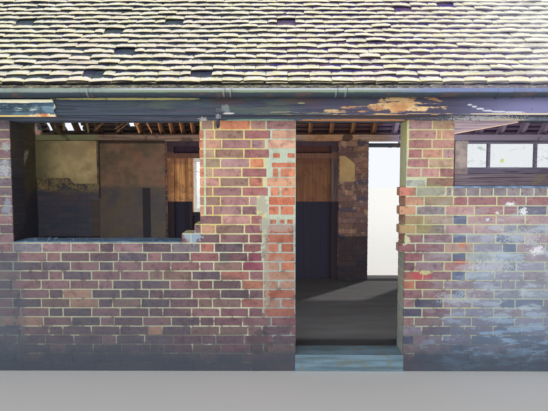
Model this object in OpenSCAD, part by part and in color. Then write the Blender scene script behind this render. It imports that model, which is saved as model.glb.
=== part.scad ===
// Oast range: a derelict single-storey brick range with a plain-tile roof.
// Millimetres, +Z up, front towards -Y. Origin at ground level, under the middle of the whole box.

/* [Brickwork] */
// Thickness of every brick wall, one brick long
wall_t = 223; // [200:1:260]
// Height of one course, brick and joint
course_h = 75; // [65:1:85]
// Thickness of one mortar joint
joint_t = 9; // [6:1:12]
// Courses from the ground to the top of the long walls
wall_courses = 27; // [26:1:30]
// Clear depth of the room between the long walls
clear_depth = 2825; // [2500:5:3200]

/* [Front openings, from the left end] */
// Front wall from the left end to the wide opening
left_panel_w = 1392; // [1000:4:1800]
// Width of the wide opening
wide_opening_w = 1504; // [1100:4:1900]
// Width of the pier between the wide opening and the doorway
centre_pier_w = 756; // [500:4:1100]
// Width of the front doorway
doorway_w = 875; // [750:5:1100]
// Width of the pier between the doorway and the right opening
door_pier_w = 372; // [330:4:600]
// Width of the right opening
right_opening_w = 1500; // [1100:4:1900]
// Front wall from the right opening to the right end
right_panel_w = 1596; // [1200:4:2000]
// Courses under the wide opening
wide_sill_courses = 14; // [10:1:17]
// Courses under the right opening
right_sill_courses = 20; // [14:1:21]
// Height of the concrete step in the front doorway
threshold_h = 135; // [110:5:200]
// How far that step stands out of the wall
threshold_out = 5; // [0:1:120]
// Thickness of the mortar capping on the right sill
capping_t = 14; // [6:1:25]
// Height of the broken mortar capping on the wide sill
broken_capping_h = 12; // [6:1:50]

/* [Broken brickwork] */
// How far the broken bricks of the door pier stand into the doorway
tooth_w = 45; // [20:1:90]
// Depth of those broken bricks, from the front
tooth_d = 107; // [60:1:200]
// First course that has such a broken brick
tooth_from = 13; // [10:1:15]
// Last course that may have one
tooth_to = 19; // [16:1:21]
// Width of the lower brick left standing beside the centre pier
stub_w = 148; // [60:1:220]
// Width of the brick left on top of it
stub_top_w = 46; // [20:1:60]

/* [Rear wall, from the left end] */
// Solid wall from the left end to the timber bay
rear_left_w = 1985; // [1600:5:2300]
// Width of the timber-framed bay
bay_w = 2374; // [2000:2:2700]
// Width of the pier beside the rear doorway
rear_pier_w = 393; // [300:1:600]
// Width of the rear doorway
rear_door_w = 900; // [750:5:1100]
// Wall from the rear doorway to the strip window
rear_mid_w = 274; // [220:2:500]
// Height of the concrete step in the rear doorway
rear_threshold_h = 128; // [105:1:180]
// Courses under the strip window
strip_sill_courses = 21; // [17:1:23]

/* [Floor and plaster] */
// Top of the concrete floor
floor_h = 100; // [60:5:105]
// Thickness of the plaster left on the walls inside
plaster_t = 12; // [6:1:20]
// Underside of the upper plaster field
plaster_low_z = 1512; // [1300:4:1700]
// Width of the upper plaster field, from the left corner
plaster_w = 830; // [500:5:1000]
// Dark gap between the plaster and the wall sheet
sheet_gap = 30; // [10:2:60]
// Thickness of the wall sheet beside the plaster
sheet_t = 15; // [8:1:25]
// Lower edge of the plaster patch on the rear pier
patch_low_z = 1458; // [1300:2:1500]
// Height of the plaster patch on the rear pier
patch_h = 354; // [150:2:400]
// Width of the plaster patch on the rear pier
pier_patch_w = 212; // [100:2:250]

/* [Timber bay] */
// Depth of the bay's posts and rails, across the wall
bay_frame_d = 75; // [60:1:100]
// Width of the bay's posts
bay_post_w = 94; // [60:2:120]
// Underside of the bay's upper rail
bay_rail_z = 1784; // [1700:4:1840]
// Height of the bay's rails
bay_rail_h = 68; // [45:1:80]
// Thickness of the boarding
board_t = 22; // [15:1:32]
// Left side of the framed window, from the bay's left side
window_from = 345; // [300:5:600]
// Width of the framed window
window_w = 900; // [700:10:1100]
// Sill height of the framed window
window_z = 1034; // [900:2:1200]
// Width of the studs beside the window
stud_w = 50; // [40:1:60]
// Face width of the window's frame
window_face = 50; // [35:1:60]
// Depth of the window's frame
window_d = 60; // [45:1:70]
// Thickness of all glass
glass_t = 4; // [3:0.5:8]

/* [Strip window] */
// Width of the wall post beside the strip window
strip_post_w = 67; // [50:1:90]
// Width of the strip window's left stile
strip_stile_w = 100; // [60:2:120]
// Width of the strip window's right stile
strip_end_w = 124; // [60:2:160]
// Width of the first, narrow pane
strip_first_w = 282; // [200:1:350]
// Largest width of the other panes
strip_pane_w = 640; // [500:5:760]
// Face width of the glazing bars
strip_bar_w = 30; // [16:1:40]
// Height of the strip window's lower rail
strip_low_h = 92; // [60:1:110]
// Height of the strip window's upper rail
strip_top_h = 39; // [25:1:60]
// Depth of the strip window's frame
strip_d = 70; // [50:1:90]
// Height of the board on the wall under the strip window
strip_board_h = 160; // [80:2:400]
// Thickness of that board
strip_board_t = 18; // [10:1:30]

/* [Roof timbers] */
// Pitch of both slopes, in degrees
pitch = 40; // [36:0.5:45]
// Height of the timber beam over the front openings
front_beam_h = 240; // [200:2:280]
// Width of that beam, across the wall
front_beam_w = 200; // [150:5:220]
// Height of the plate on the rear wall
rear_plate_h = 85; // [60:1:120]
// Width of the plate on the rear wall
rear_plate_w = 200; // [150:5:220]
// Width of a rafter
rafter_w = 50; // [40:1:65]
// Depth of a rafter
rafter_d = 100; // [80:1:125]
// Distance between the middles of two rafters
rafter_pitch = 294; // [250:1:450]
// Middle of the first rafter, from the left gable's inner face
rafter_first = 219; // [60:1:280]
// Depth of the notch that seats a rafter on its plate
birdsmouth = 25; // [15:1:35]
// Front rafters' reach past the wall
front_tail = 120; // [100:5:160]
// Rear rafters' reach past the wall
rear_tail = 170; // [120:5:200]
// Level underside of the rear rafters' feet, above the top of the walls
foot_rise = 14; // [0:1:24]
// Thickness of the ridge board
ridge_board_t = 32; // [22:1:45]
// Depth of the ridge board
ridge_board_h = 175; // [150:5:225]
// Depth of a collar tie
collar_h = 100; // [75:5:125]
// Thickness of a collar tie
collar_t = 38; // [25:1:50]
// Underside of the collar ties above the wall's top
collar_rise = 1000; // [900:10:1100]
// Every so many pairs of rafters have a collar tie
collar_every = 4; // [2:1:6]
// Width of a batten
batten_w = 38; // [25:1:45]
// Thickness of a batten
batten_t = 25; // [19:1:32]

/* [Tiles] */
// Width of a plain tile
tile_w = 165; // [150:1:180]
// Length of a plain tile
tile_l = 265; // [250:1:280]
// Thickness of a plain tile
tile_t = 12; // [10:0.5:15]
// Play between a course of tiles and the one below it
tile_fit = 0.3; // [0.2:0.1:0.8]
// Largest gauge between two courses of tiles
max_gauge = 90; // [80:1:98]
// Reach of the tiles past each gable
verge = 40; // [20:2:80]
// Front wall's face to the foot of the lowest tiles
front_eave = 170; // [155:5:230]
// Rear wall's face to the foot of the lowest tiles
rear_eave = 220; // [210:5:280]
// Gap between the highest battens at the ridge, along the slope
ridge_clear = 5; // [3:1:12]
// Outer radius of the half-round ridge tiles
ridge_r = 125; // [105:1:140]
// Thickness of the ridge tiles
ridge_t = 16; // [12:1:20]
// Middle of the ridge tiles below the meeting of the tiled surfaces
ridge_sink = 70; // [50:1:80]
// Length of a ridge tile, with its joint
ridge_l = 456; // [300:4:500]
// Open joint between two ridge tiles
ridge_joint = 6; // [3:1:12]

/* [Eaves] */
// Thickness of both fascias
fascia_t = 25; // [18:1:32]
// Lower edge of the front fascia above the underside of the beam
fascia_rise = 30; // [10:1:60]
// Height of the narrow rear fascia
rear_fascia_h = 60; // [40:1:80]
// Left end of the front fascia to the repair board
patch_from = 650; // [300:10:900]
// Length of the repair board
patch_l = 1180; // [800:10:1500]
// Height of the repair board
patch_board_h = 128; // [100:1:140]
// How far the repair board hangs below the fascia
patch_drop = 14; // [0:1:30]
// Thickness of the repair board
patch_t = 20; // [12:1:30]
// Outer radius of the half-round gutters
gutter_r = 60; // [50:1:70]
// Wall thickness of the gutters
gutter_t = 4; // [3:0.5:6]
// Gap between the gutters' sockets and the fascia
gutter_gap = 0.7; // [0.5:0.1:10]
// Length of the socket that takes the next length of gutter
socket_l = 40; // [30:1:80]
// From a joint of the gutter to the next bracket
joint_before = 130; // [110:5:250]
// Open end play in a joint of the gutter
joint_play = 2; // [1:0.5:6]
// Rim of the front gutter below the lowest tiles
front_gutter_drop = 41; // [25:1:60]
// Rim of the rear gutter below the lowest tiles
rear_gutter_drop = 68; // [40:1:80]
// Lengths of the rear gutter missing at its right end
rear_lengths_gone = 2; // [0:1:4]
// Distance between two gutter brackets
bracket_pitch = 1040; // [700:10:1200]
// First gutter bracket from the left end
bracket_first = 60; // [40:5:300]
// Width of a gutter bracket
bracket_w = 25; // [15:1:35]
// Thickness of a gutter bracket's strap
bracket_t = 4; // [3:0.5:6]
// Play between the gutters and their brackets and sockets
bracket_fit = 0.3; // [0.2:0.1:0.6]

/* [Beam details] */
// Length of the tapered board under the beam's right part
taper_l = 500; // [300:10:900]
// Height of that board at its thick end
taper_h = 105; // [60:1:140]
// Height of that board at its thin end
taper_end_h = 16; // [8:1:30]
// Thickness of that board
taper_t = 50; // [25:1:75]
// Left face of the centre pier to the iron hook
hook_from = 164; // [60:1:400]
// Diameter of the hook's rod
hook_d = 24; // [8:1:28]
// Radius of the hook's bend, to the rod's middle
hook_r = 20; // [16:1:30]
// Length of the hook's straight shank below the fascia
hook_drop = 70; // [40:1:120]
// Width of the plate that holds the hook against the fascia
hook_plate_w = 40; // [20:1:80]
// Height of that plate
hook_plate_h = 85; // [40:1:100]
// Thickness of that plate
hook_plate_t = 6; // [3:1:10]
// Lower edge of that plate below the fascia
hook_plate_drop = 34; // [0:1:39]

/* [Hidden] */

// Places along the front wall, from the left end.
x_wide = left_panel_w;
x_pier = x_wide + wide_opening_w;
x_door = x_pier + centre_pier_w;
x_door_pier = x_door + doorway_w;
x_right = x_door_pier + door_pier_w;
x_right_panel = x_right + right_opening_w;
total_l = x_right_panel + right_panel_w;
x_in_right = total_l - wall_t;
clear_l = total_l - 2 * wall_t;

// Places along the rear wall, from the left end.
x_bay = rear_left_w;
x_rear_pier = x_bay + bay_w;
x_rear_door = x_rear_pier + rear_pier_w;
x_rear_mid = x_rear_door + rear_door_w;
x_strip = x_rear_mid + rear_mid_w;
x_window = x_bay + window_from;

// Heights and depths of the brickwork.
depth = clear_depth + 2 * wall_t;
y_in_rear = depth - wall_t;
wall_h = wall_courses * course_h - joint_t;
wide_sill_h = wide_sill_courses * course_h;
right_sill_h = right_sill_courses * course_h - capping_t;
strip_sill_h = strip_sill_courses * course_h - joint_t;

// Roof planes, as heights above the outer face of each long wall.
front_seat_z = wall_h + front_beam_h;
rear_seat_z = wall_h + rear_plate_h;
rafter_rise = rafter_d / cos(pitch);
batten_rise = batten_t / cos(pitch);
front_ridge_y = (depth - (front_seat_z - rear_seat_z) / tan(pitch)) / 2;
rear_ridge_y = depth - front_ridge_y;

// One side of the roof: [seat height, tail, eave, ridge distance].
FRONT = [front_seat_z, front_tail, front_eave, front_ridge_y];
REAR = [rear_seat_z, rear_tail, rear_eave, rear_ridge_y];

// Underside and top of the rafters, and top of the battens, at a distance y inside the face.
function under_z(side, y) = side[0] - birdsmouth + y * tan(pitch);
function rafter_top_z(side, y) = under_z(side, y) + rafter_rise;
function batten_top_z(side, y) = rafter_top_z(side, y) + batten_rise;

// The courses fill the slope evenly, at the largest gauge that fits, each tilted by the one below.
course_rise = tile_t + tile_fit;
function slope_run(side) =
    (side[3] + side[2]) / cos(pitch) - tile_l - ridge_clear - batten_t * tan(pitch);
function gaps(side) = ceil(slope_run(side) / max_gauge);
function gauge(side) = slope_run(side) / gaps(side);
function tilt(side) = asin(course_rise / gauge(side));

// A point s up the slope and n above the battens, as [y, z] from the wall's outer face.
function on_slope(side, s, n) = [
    s * cos(pitch) - n * sin(pitch) - side[2],
    batten_top_z(side, -side[2]) + s * sin(pitch) + n * cos(pitch)
];

// Lower corner of the doubled course at the eaves, and the height of its underside at y.
function eaves_corner(side) = on_slope(
    side,
    -course_rise * sin(tilt(side)),
    tile_l * sin(tilt(side)) - course_rise * cos(tilt(side))
);
function eaves_under_z(side, y) =
    eaves_corner(side)[1] + (y - eaves_corner(side)[0]) * tan(pitch - tilt(side));

// Upper surface of the highest course, carried on to the ridge line.
function head_corner(side) = on_slope(
    side,
    slope_run(side) + tile_l * cos(tilt(side)) + tile_t * sin(tilt(side)),
    tile_t * cos(tilt(side))
);
function crown_z(side) =
    head_corner(side)[1] + (side[3] - head_corner(side)[0]) * tan(pitch - tilt(side));

// Eaves: the fascias' faces and the gutters' middles, as distances out of the wall.
front_face = front_tail + fascia_t;
rear_face = rear_tail + fascia_t;
bracket_reach = gutter_r + bracket_fit + bracket_t;
socket_r = gutter_r + bracket_fit + gutter_t;
gutter_reach = max(bracket_reach, socket_r);
gutter_out = gutter_gap + gutter_reach;
front_fascia_z = wall_h + fascia_rise;
front_fascia_top = eaves_under_z(FRONT, -front_face);
rear_fascia_top = eaves_under_z(REAR, -rear_face);
front_gutter_z = eaves_corner(FRONT)[1] - front_gutter_drop;
rear_gutter_z = eaves_corner(REAR)[1] - rear_gutter_drop;
bracket_lap = 30;
bracket_heel = 20;

// Middle of the whole box, so that the origin lies under it.
front_reach = front_face + gutter_out + gutter_reach;
rear_reach = rear_face + gutter_out + gutter_reach;
y_mid = (depth + rear_reach - front_reach) / 2;

// Rafters between the gables.
rafter_count = floor((clear_l - rafter_first - rafter_w / 2) / rafter_pitch) + 1;
function rafter_x(i) = wall_t + rafter_first + i * rafter_pitch;

// Rafters put in between the others, for repair, as places in the row.
rear_repairs = [5.5, 6.5];
least_foot = 25;

roof_l = total_l + 2 * verge;
tile_step = roof_l / round(roof_l / tile_w);

// Where tiles are missing: [lowest course, highest course, left side, right side], the sides in
// tiles from the left verge. A hole of four courses or more goes through, and its battens are gone.
front_missing = [
    [1, 1, 12.6, 13.4],
    [1, 1, 17.6, 18.4],
    [5, 5, 13.6, 14.4],
    [9, 9, 12.6, 13.4],
    [11, 11, 7.6, 8.4],
    [11, 11, 15.6, 16.4],
    [11, 11, 21.6, 22.4],
    [14, 14, 28.1, 28.9],
    [15, 15, 30.6, 31.4]
];
rear_missing = [
    [0, 4, 2, 2.5],
    [0, 4, 3.5, 5],
    [1, 4, 9, 9.5],
    [8, 8, 21.1, 21.9],
    [13, 13, 33.6, 34.4],
    [17, 17, 14.6, 15.4],
    [22, 22, 40.1, 40.9]
];

// Joints of the gutters, each a little before a bracket, and the gutters' two ends.
bracket_count = floor((total_l - bracket_first) / bracket_pitch) + 1;
function bracket_x(i) = bracket_first + i * bracket_pitch;
gutter_joints = [
    -verge,
    for (i = [1 : bracket_count - 1]) bracket_x(i) - joint_before,
    total_l + verge
];

round_fn = 48;
rod_fn = 24;
eps = 1;

// Puts the front left corner of the walls where the origin asks for it.
module placed() {
    translate([-total_l / 2, -y_mid, 0]) children();
}

// Turns a piece drawn from the outer face of the front wall round to the rear wall.
module on_rear() {
    translate([0, depth, 0]) mirror([0, 1, 0]) children();
}

// Extrudes an outline drawn in y and z along the building.
module along_x(x, length) {
    translate([x, 0, 0]) rotate([90, 0, 90]) linear_extrude(height = length) children();
}

// Extrudes an outline drawn in x and z into the building.
module into_y(y, length) {
    translate([0, y + length, 0]) rotate([90, 0, 0]) linear_extrude(height = length) children();
}

module front_slab(x, width, height) {
    translate([x, 0, 0]) cube([width, wall_t, height]);
}

module rear_slab(x, width, height) {
    translate([x, y_in_rear, 0]) cube([width, wall_t, height]);
}

// A gable wall: the whole section of the building up to the underside of the battens.
module gable_wall(x) {
    along_x(x, wall_t) polygon([
        [0, 0],
        [depth, 0],
        [depth, rafter_top_z(REAR, 0)],
        [front_ridge_y, rafter_top_z(FRONT, front_ridge_y)],
        [0, rafter_top_z(FRONT, 0)]
    ]);
}

// The floor runs on into the recess behind the timber bay.
module floor_slab() {
    color("gray") placed() {
        translate([wall_t, wall_t, 0]) cube([clear_l, clear_depth, floor_h]);
        translate([x_bay, wall_t, 0]) cube([bay_w, y_bay - wall_t, floor_h]);
    }
}

module left_gable_wall() {
    color("rosybrown") placed() gable_wall(0);
}

module right_gable_wall() {
    color("rosybrown") placed() gable_wall(x_in_right);
}

module front_wall_left() {
    color("indianred") placed() front_slab(wall_t, left_panel_w - wall_t, wall_h);
}

module front_apron_left() {
    color("rosybrown") placed() front_slab(x_wide, wide_opening_w, wide_sill_h);
}

// The centre pier keeps two broken bricks on the sill beside it.
module centre_pier() {
    color("indianred") placed() {
        front_slab(x_pier, centre_pier_w, wall_h);
        translate([x_pier - stub_w, 0, wide_sill_h]) cube([stub_w, wall_t, course_h]);
        translate([x_pier - stub_top_w, 0, wide_sill_h + course_h])
            cube([stub_top_w, wall_t, course_h]);
    }
}

// The door pier keeps broken bricks that tooth into the doorway on every other course.
module door_pier() {
    color("indianred") placed() {
        front_slab(x_door_pier, door_pier_w, wall_h);
        for (course = [tooth_from : 2 : tooth_to])
            translate([x_door_pier - tooth_w, 0, course * course_h])
                cube([tooth_w, tooth_d, course_h - joint_t]);
    }
}

module front_apron_right() {
    color("rosybrown") placed() front_slab(x_right, right_opening_w, right_sill_h);
}

module front_wall_right() {
    color("indianred") placed() front_slab(x_right_panel, right_panel_w - wall_t, wall_h);
}

// Mortar capping of the wide sill, broken to an uneven top, up to the bricks beside the pier.
module wide_sill_capping() {
    span = wide_opening_w - stub_w;
    color("lightsteelblue") placed() translate([x_wide, 0, wide_sill_h]) into_y(0, wall_t)
        polygon([
            [0, 0],
            [span, 0],
            [span, broken_capping_h * 0.55],
            [span * 0.86, broken_capping_h * 0.7],
            [span * 0.62, broken_capping_h],
            [span * 0.58, broken_capping_h * 0.8],
            [span * 0.27, broken_capping_h * 0.75],
            [span * 0.22, broken_capping_h * 0.5],
            [span * 0.08, broken_capping_h],
            [0, broken_capping_h * 0.6]
        ]);
}

module right_sill_capping() {
    color("lightsteelblue") placed() translate([x_right, 0, right_sill_h])
        cube([right_opening_w, wall_t, capping_t]);
}

module front_threshold() {
    color("darkgray") placed() translate([x_door, -threshold_out, 0])
        cube([doorway_w, wall_t + threshold_out, threshold_h]);
}

module front_beam() {
    color("saddlebrown") placed() translate([wall_t, 0, wall_h])
        cube([clear_l, front_beam_w, front_beam_h]);
}

// Tapered board fixed under the beam, from the door pier to the right.
module tapered_board() {
    color("peru") placed() translate([x_right, 0, wall_h]) into_y(0, taper_t)
        polygon([[0, 0], [0, -taper_h], [taper_l, -taper_end_h], [taper_l, 0]]);
}

// Iron hook on the front fascia: a plate against the board, and on it a rod with a bent end.
module iron_hook() {
    plate_z = front_fascia_z - hook_plate_drop;
    bend_z = front_fascia_z - hook_drop;
    bend_r = max(hook_r, hook_d / 2 + eps);
    color("dimgray") placed() translate([x_pier + hook_from, -front_face, 0]) {
        translate([-hook_plate_w / 2, -hook_plate_t, plate_z])
            cube([hook_plate_w, hook_plate_t, hook_plate_h]);
        translate([0, -hook_plate_t - hook_d / 2 + eps, bend_z]) {
            cylinder(h = plate_z + hook_plate_h / 2 - bend_z, d = hook_d, $fn = rod_fn);
            translate([0, -bend_r, 0]) rotate([90, 0, 90]) rotate([0, 0, 180])
                rotate_extrude(angle = 180, $fn = round_fn)
                    translate([bend_r, 0]) circle(d = hook_d, $fn = rod_fn);
            translate([0, -2 * bend_r, 0]) cylinder(h = bend_r, d = hook_d, $fn = rod_fn);
        }
    }
}

module rear_wall_left() {
    color("indianred") placed() rear_slab(wall_t, rear_left_w - wall_t, wall_h);
}

// Posts, studs and rails of the timber bay, behind the boarding's inner face.
y_bay = depth - board_t - bay_frame_d;

module rear_bay_frame() {
    rail_top = bay_rail_z + bay_rail_h;
    color("saddlebrown") placed() translate([x_bay, y_bay, 0]) {
        cube([bay_w, bay_frame_d, bay_rail_h]);
        translate([0, 0, bay_rail_z]) cube([bay_w, bay_frame_d, bay_rail_h]);
        translate([0, 0, wall_h - bay_rail_h]) cube([bay_w, bay_frame_d, bay_rail_h]);
        cube([bay_post_w, bay_frame_d, wall_h]);
        translate([bay_w - bay_post_w, 0, 0]) cube([bay_post_w, bay_frame_d, wall_h]);
        for (x = [window_from - stud_w, window_from + window_w])
            translate([x, 0, 0]) cube([stud_w, bay_frame_d, rail_top]);
        translate([window_from, 0, window_z - stud_w]) cube([window_w, bay_frame_d, stud_w]);
    }
}

// Four fields of boarding, flush with the rear wall's outer face, round the window.
module rear_boarding() {
    top_z = bay_rail_z + bay_rail_h / 2;
    right_from = window_from + window_w;
    color("sienna") placed() translate([x_bay, depth - board_t, 0]) {
        cube([window_from - joint_t / 2, board_t, top_z]);
        translate([right_from + joint_t / 2, 0, 0])
            cube([bay_w - right_from - joint_t / 2, board_t, top_z]);
        translate([window_from + joint_t / 2, 0, 0])
            cube([window_w - joint_t, board_t, window_z - joint_t / 2]);
        translate([0, 0, top_z + joint_t / 2]) cube([bay_w, board_t, wall_h - top_z - joint_t / 2]);
    }
}

// Two-light frame that fills the bay between the studs.
module rear_window_frame() {
    height = bay_rail_z - window_z;
    light_w = (window_w - 3 * window_face) / 2;
    color("white") placed() translate([x_window, depth - window_d, window_z]) into_y(0, window_d)
        difference() {
            square([window_w, height]);
            for (x = [window_face, 2 * window_face + light_w])
                translate([x, window_face]) square([light_w, height - 2 * window_face]);
        }
}

module rear_window_glass() {
    light_w = (window_w - 3 * window_face) / 2;
    height = bay_rail_z - window_z - 2 * window_face;
    color("lightcyan") placed()
        translate([x_window, depth - (window_d + glass_t) / 2, window_z + window_face])
            for (x = [window_face, 2 * window_face + light_w])
                translate([x, 0, 0]) cube([light_w, glass_t, height]);
}

module rear_pier() {
    color("indianred") placed() rear_slab(x_rear_pier, rear_pier_w, wall_h);
}

module rear_threshold() {
    color("darkgray") placed() rear_slab(x_rear_door, rear_door_w, rear_threshold_h);
}

module rear_wall_mid() {
    color("indianred") placed() rear_slab(x_rear_mid, rear_mid_w, wall_h);
}

module rear_apron_right() {
    color("rosybrown") placed() rear_slab(x_strip, x_in_right - x_strip, strip_sill_h);
}

// Lights of the strip window: a narrow one, then equal ones up to the right stile.
strip_from = strip_post_w + strip_stile_w;
strip_rest_from = strip_from + strip_first_w + strip_bar_w;
strip_rest = x_in_right - x_strip - strip_end_w - strip_rest_from;
strip_count = ceil(strip_rest / (strip_pane_w + strip_bar_w));
strip_light_w = (strip_rest - (strip_count - 1) * strip_bar_w) / strip_count;
strip_light_h = wall_h - strip_sill_h - strip_low_h - strip_top_h;

module strip_lights() {
    translate([strip_from, 0]) square([strip_first_w, strip_light_h]);
    for (i = [0 : strip_count - 1])
        translate([strip_rest_from + i * (strip_light_w + strip_bar_w), 0])
            square([strip_light_w, strip_light_h]);
}

module strip_window_frame() {
    color("tan") placed() translate([x_strip, y_in_rear, strip_sill_h]) into_y(0, strip_d)
        difference() {
            square([x_in_right - x_strip, wall_h - strip_sill_h]);
            translate([0, strip_low_h]) strip_lights();
        }
}

module strip_window_glass() {
    color("lightcyan") placed()
        translate([x_strip, y_in_rear, strip_sill_h + strip_low_h])
            into_y((strip_d - glass_t) / 2, glass_t) strip_lights();
}

// Board nailed to the wall's inner face, close under the strip window.
module strip_board() {
    color("rosybrown") placed()
        translate([x_strip, y_in_rear - strip_board_t, strip_sill_h - strip_board_h])
            cube([x_in_right - x_strip, strip_board_t, strip_board_h]);
}

module rear_wall_plate() {
    color("olive") placed() translate([wall_t, depth - rear_plate_w, wall_h])
        cube([clear_l, rear_plate_w, rear_plate_h]);
}

// Plaster left on the rear wall's inner face and on the rear pier.
module wall_plaster() {
    color("khaki") placed() translate([0, y_in_rear, 0]) {
        into_y(-plaster_t, plaster_t) translate([wall_t, plaster_low_z]) polygon([
            [0, 0],
            [plaster_w * 0.55, 0],
            [plaster_w * 0.62, -course_h],
            [plaster_w, -course_h],
            [plaster_w, wall_h - plaster_low_z],
            [0, wall_h - plaster_low_z]
        ]);
        into_y(-plaster_t, plaster_t) translate([x_rear_pier, patch_low_z]) polygon([
            [0, 0],
            [pier_patch_w, patch_h * 0.03],
            [pier_patch_w * 0.97, patch_h * 0.71],
            [pier_patch_w * 0.35, patch_h],
            [0, patch_h]
        ]);
    }
}

// Sheet of board fixed to the rear wall's inner face, from the plaster to the bay.
module wall_sheet() {
    from = wall_t + plaster_w + sheet_gap;
    color("peru") placed() translate([from, y_in_rear - sheet_t, floor_h])
        cube([x_bay - from, sheet_t, wall_h - floor_h]);
}

// Rafters of one side: plumb at the foot and the ridge, and notched over the plate. A foot that
// would reach below foot_z is cut off level there.
module rafters(side, places, foot_z) {
    top_y = side[3] - ridge_board_t / 2;
    foot_low = under_z(side, -side[1]);
    cut_z = min(foot_z, rafter_top_z(side, -side[1]) - least_foot);
    foot = cut_z > foot_low
        ? [[-side[1], cut_z], [(cut_z - under_z(side, 0)) / tan(pitch), cut_z]]
        : [[-side[1], foot_low]];
    for (i = places)
        along_x(rafter_x(i) - rafter_w / 2, rafter_w) polygon([
            each foot,
            [0, under_z(side, 0)],
            [0, side[0]],
            [birdsmouth / tan(pitch), side[0]],
            [top_y, under_z(side, top_y)],
            [top_y, rafter_top_z(side, top_y)],
            [-side[1], rafter_top_z(side, -side[1])]
        ]);
}

module front_rafters() {
    color("peru") placed() rafters(FRONT, [0 : rafter_count - 1], 0);
}

module rear_rafters() {
    color("peru") placed() on_rear()
        rafters(REAR, [each [0 : rafter_count - 1], each rear_repairs], wall_h + foot_rise);
}

module ridge_board() {
    top_z = rafter_top_z(FRONT, front_ridge_y - ridge_board_t / 2);
    color("saddlebrown") placed()
        translate([wall_t, front_ridge_y - ridge_board_t / 2, top_z - ridge_board_h])
            cube([clear_l, ridge_board_t, ridge_board_h]);
}

// Collar ties on the sides of some pairs of rafters, cut to the pitch at both ends.
module collar_ties() {
    low_z = wall_h + collar_rise;
    high_z = low_z + collar_h;
    front_low = (low_z - rafter_top_z(FRONT, 0)) / tan(pitch);
    front_high = (high_z - rafter_top_z(FRONT, 0)) / tan(pitch);
    rear_low = depth - (low_z - rafter_top_z(REAR, 0)) / tan(pitch);
    rear_high = depth - (high_z - rafter_top_z(REAR, 0)) / tan(pitch);
    color("burlywood") placed() for (i = [1 : collar_every : rafter_count - 1])
        along_x(rafter_x(i) + rafter_w / 2, collar_t) polygon([
            [front_low, low_z], [rear_low, low_z], [rear_high, high_z], [front_high, high_z]
        ]);
}

// Moves to the foot of the tiles, with y up the slope and z away from the battens.
module slope_frame(side) {
    translate([-verge, -side[2], batten_top_z(side, -side[2])]) rotate([pitch, 0, 0]) children();
}

// A strip that runs the length of the roof, less the pieces that are left out of it.
module roof_strip(width, thickness) {
    difference() {
        cube([roof_l, width, thickness]);
        children();
    }
}

module left_out(from, to, width, thickness) {
    translate([from, -eps, -eps]) cube([to - from, width + 2 * eps, thickness + 2 * eps]);
}

// Battens: one under the head of every course and one for the doubled course at the eaves.
module battens(side, missing) {
    head = tile_l * cos(tilt(side));
    slope_frame(side) for (i = [-1 : gaps(side)])
        translate([0, i * gauge(side) + head - batten_w, -batten_t]) roof_strip(batten_w, batten_t)
            for (spot = missing) if (i >= spot[0] - 1 && i <= spot[1] - 2)
                left_out(spot[2] * tile_step, spot[3] * tile_step, batten_w, batten_t);
}

module front_battens() {
    color("burlywood") placed() battens(FRONT, front_missing);
}

module rear_battens() {
    color("burlywood") placed() on_rear() battens(REAR, rear_missing);
}

// Every other course is laid half a tile over, so whole tiles are missing from side to side.
function half_over(i) = (i % 2) / 2;
function gap_from(i, spot) = (floor(spot[2] + half_over(i)) - half_over(i)) * tile_step;
function gap_to(i, spot) = (ceil(spot[3] + half_over(i)) - half_over(i)) * tile_step;

// Courses of tiles: each lies on the two below it, so its tail is lifted by the tilt.
module tile_courses(side, missing) {
    slope_frame(side) {
        for (i = [0 : gaps(side)])
            translate([0, i * gauge(side), tile_l * sin(tilt(side))])
                rotate([-tilt(side), 0, 0]) roof_strip(tile_l, tile_t)
                    for (spot = missing) if (i >= spot[0] && i <= spot[1])
                        left_out(gap_from(i, spot), gap_to(i, spot), tile_l, tile_t);
        translate([0, 0, tile_l * sin(tilt(side))]) rotate([-tilt(side), 0, 0])
            translate([0, 0, -course_rise])
                cube([roof_l, tile_l - gauge(side) * cos(tilt(side)), tile_t]);
    }
}

module front_tiles() {
    color("darkkhaki") placed() tile_courses(FRONT, front_missing);
}

module rear_tiles() {
    color("darkkhaki") placed() on_rear() tile_courses(REAR, rear_missing);
}

// Half-round ridge tiles, cut underneath to sit on the highest course of both slopes.
module ridge_tiles() {
    wide = 2 * ridge_r;
    front_crown = crown_z(FRONT);
    rear_crown = crown_z(REAR);
    front_fall = wide * tan(pitch - tilt(FRONT));
    rear_fall = wide * tan(pitch - tilt(REAR));
    centre_z = min(front_crown, rear_crown) - ridge_sink;
    count = round(roof_l / ridge_l);
    step = roof_l / count;
    color("chocolate") placed() for (i = [0 : count - 1])
        along_x(i * step - verge + ridge_joint / 2, step - ridge_joint)
            translate([front_ridge_y, 0]) difference() {
                translate([0, centre_z]) circle(r = ridge_r, $fn = round_fn);
                translate([0, centre_z]) circle(r = ridge_r - ridge_t, $fn = round_fn);
                polygon([
                    [0, front_crown],
                    [-wide, front_crown - front_fall],
                    [-wide, centre_z - wide],
                    [wide, centre_z - wide],
                    [wide, rear_crown - rear_fall],
                    [0, rear_crown]
                ]);
            }
}

module front_fascia() {
    color("darkslateblue") placed() translate([0, -front_face, front_fascia_z])
        cube([total_l, fascia_t, front_fascia_top - front_fascia_z]);
}

// Repair board nailed over the fascia, with a split right end.
module fascia_patch() {
    low_z = front_fascia_z - patch_drop;
    color("slategray") placed() translate([patch_from, 0, low_z])
        into_y(-front_face - patch_t, patch_t) polygon([
            [0, 0],
            [patch_l, 0],
            [patch_l - patch_board_h * 0.12, patch_board_h * 0.35],
            [patch_l - patch_board_h * 0.02, patch_board_h * 0.6],
            [patch_l - patch_board_h * 0.2, patch_board_h],
            [0, patch_board_h]
        ]);
}

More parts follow.
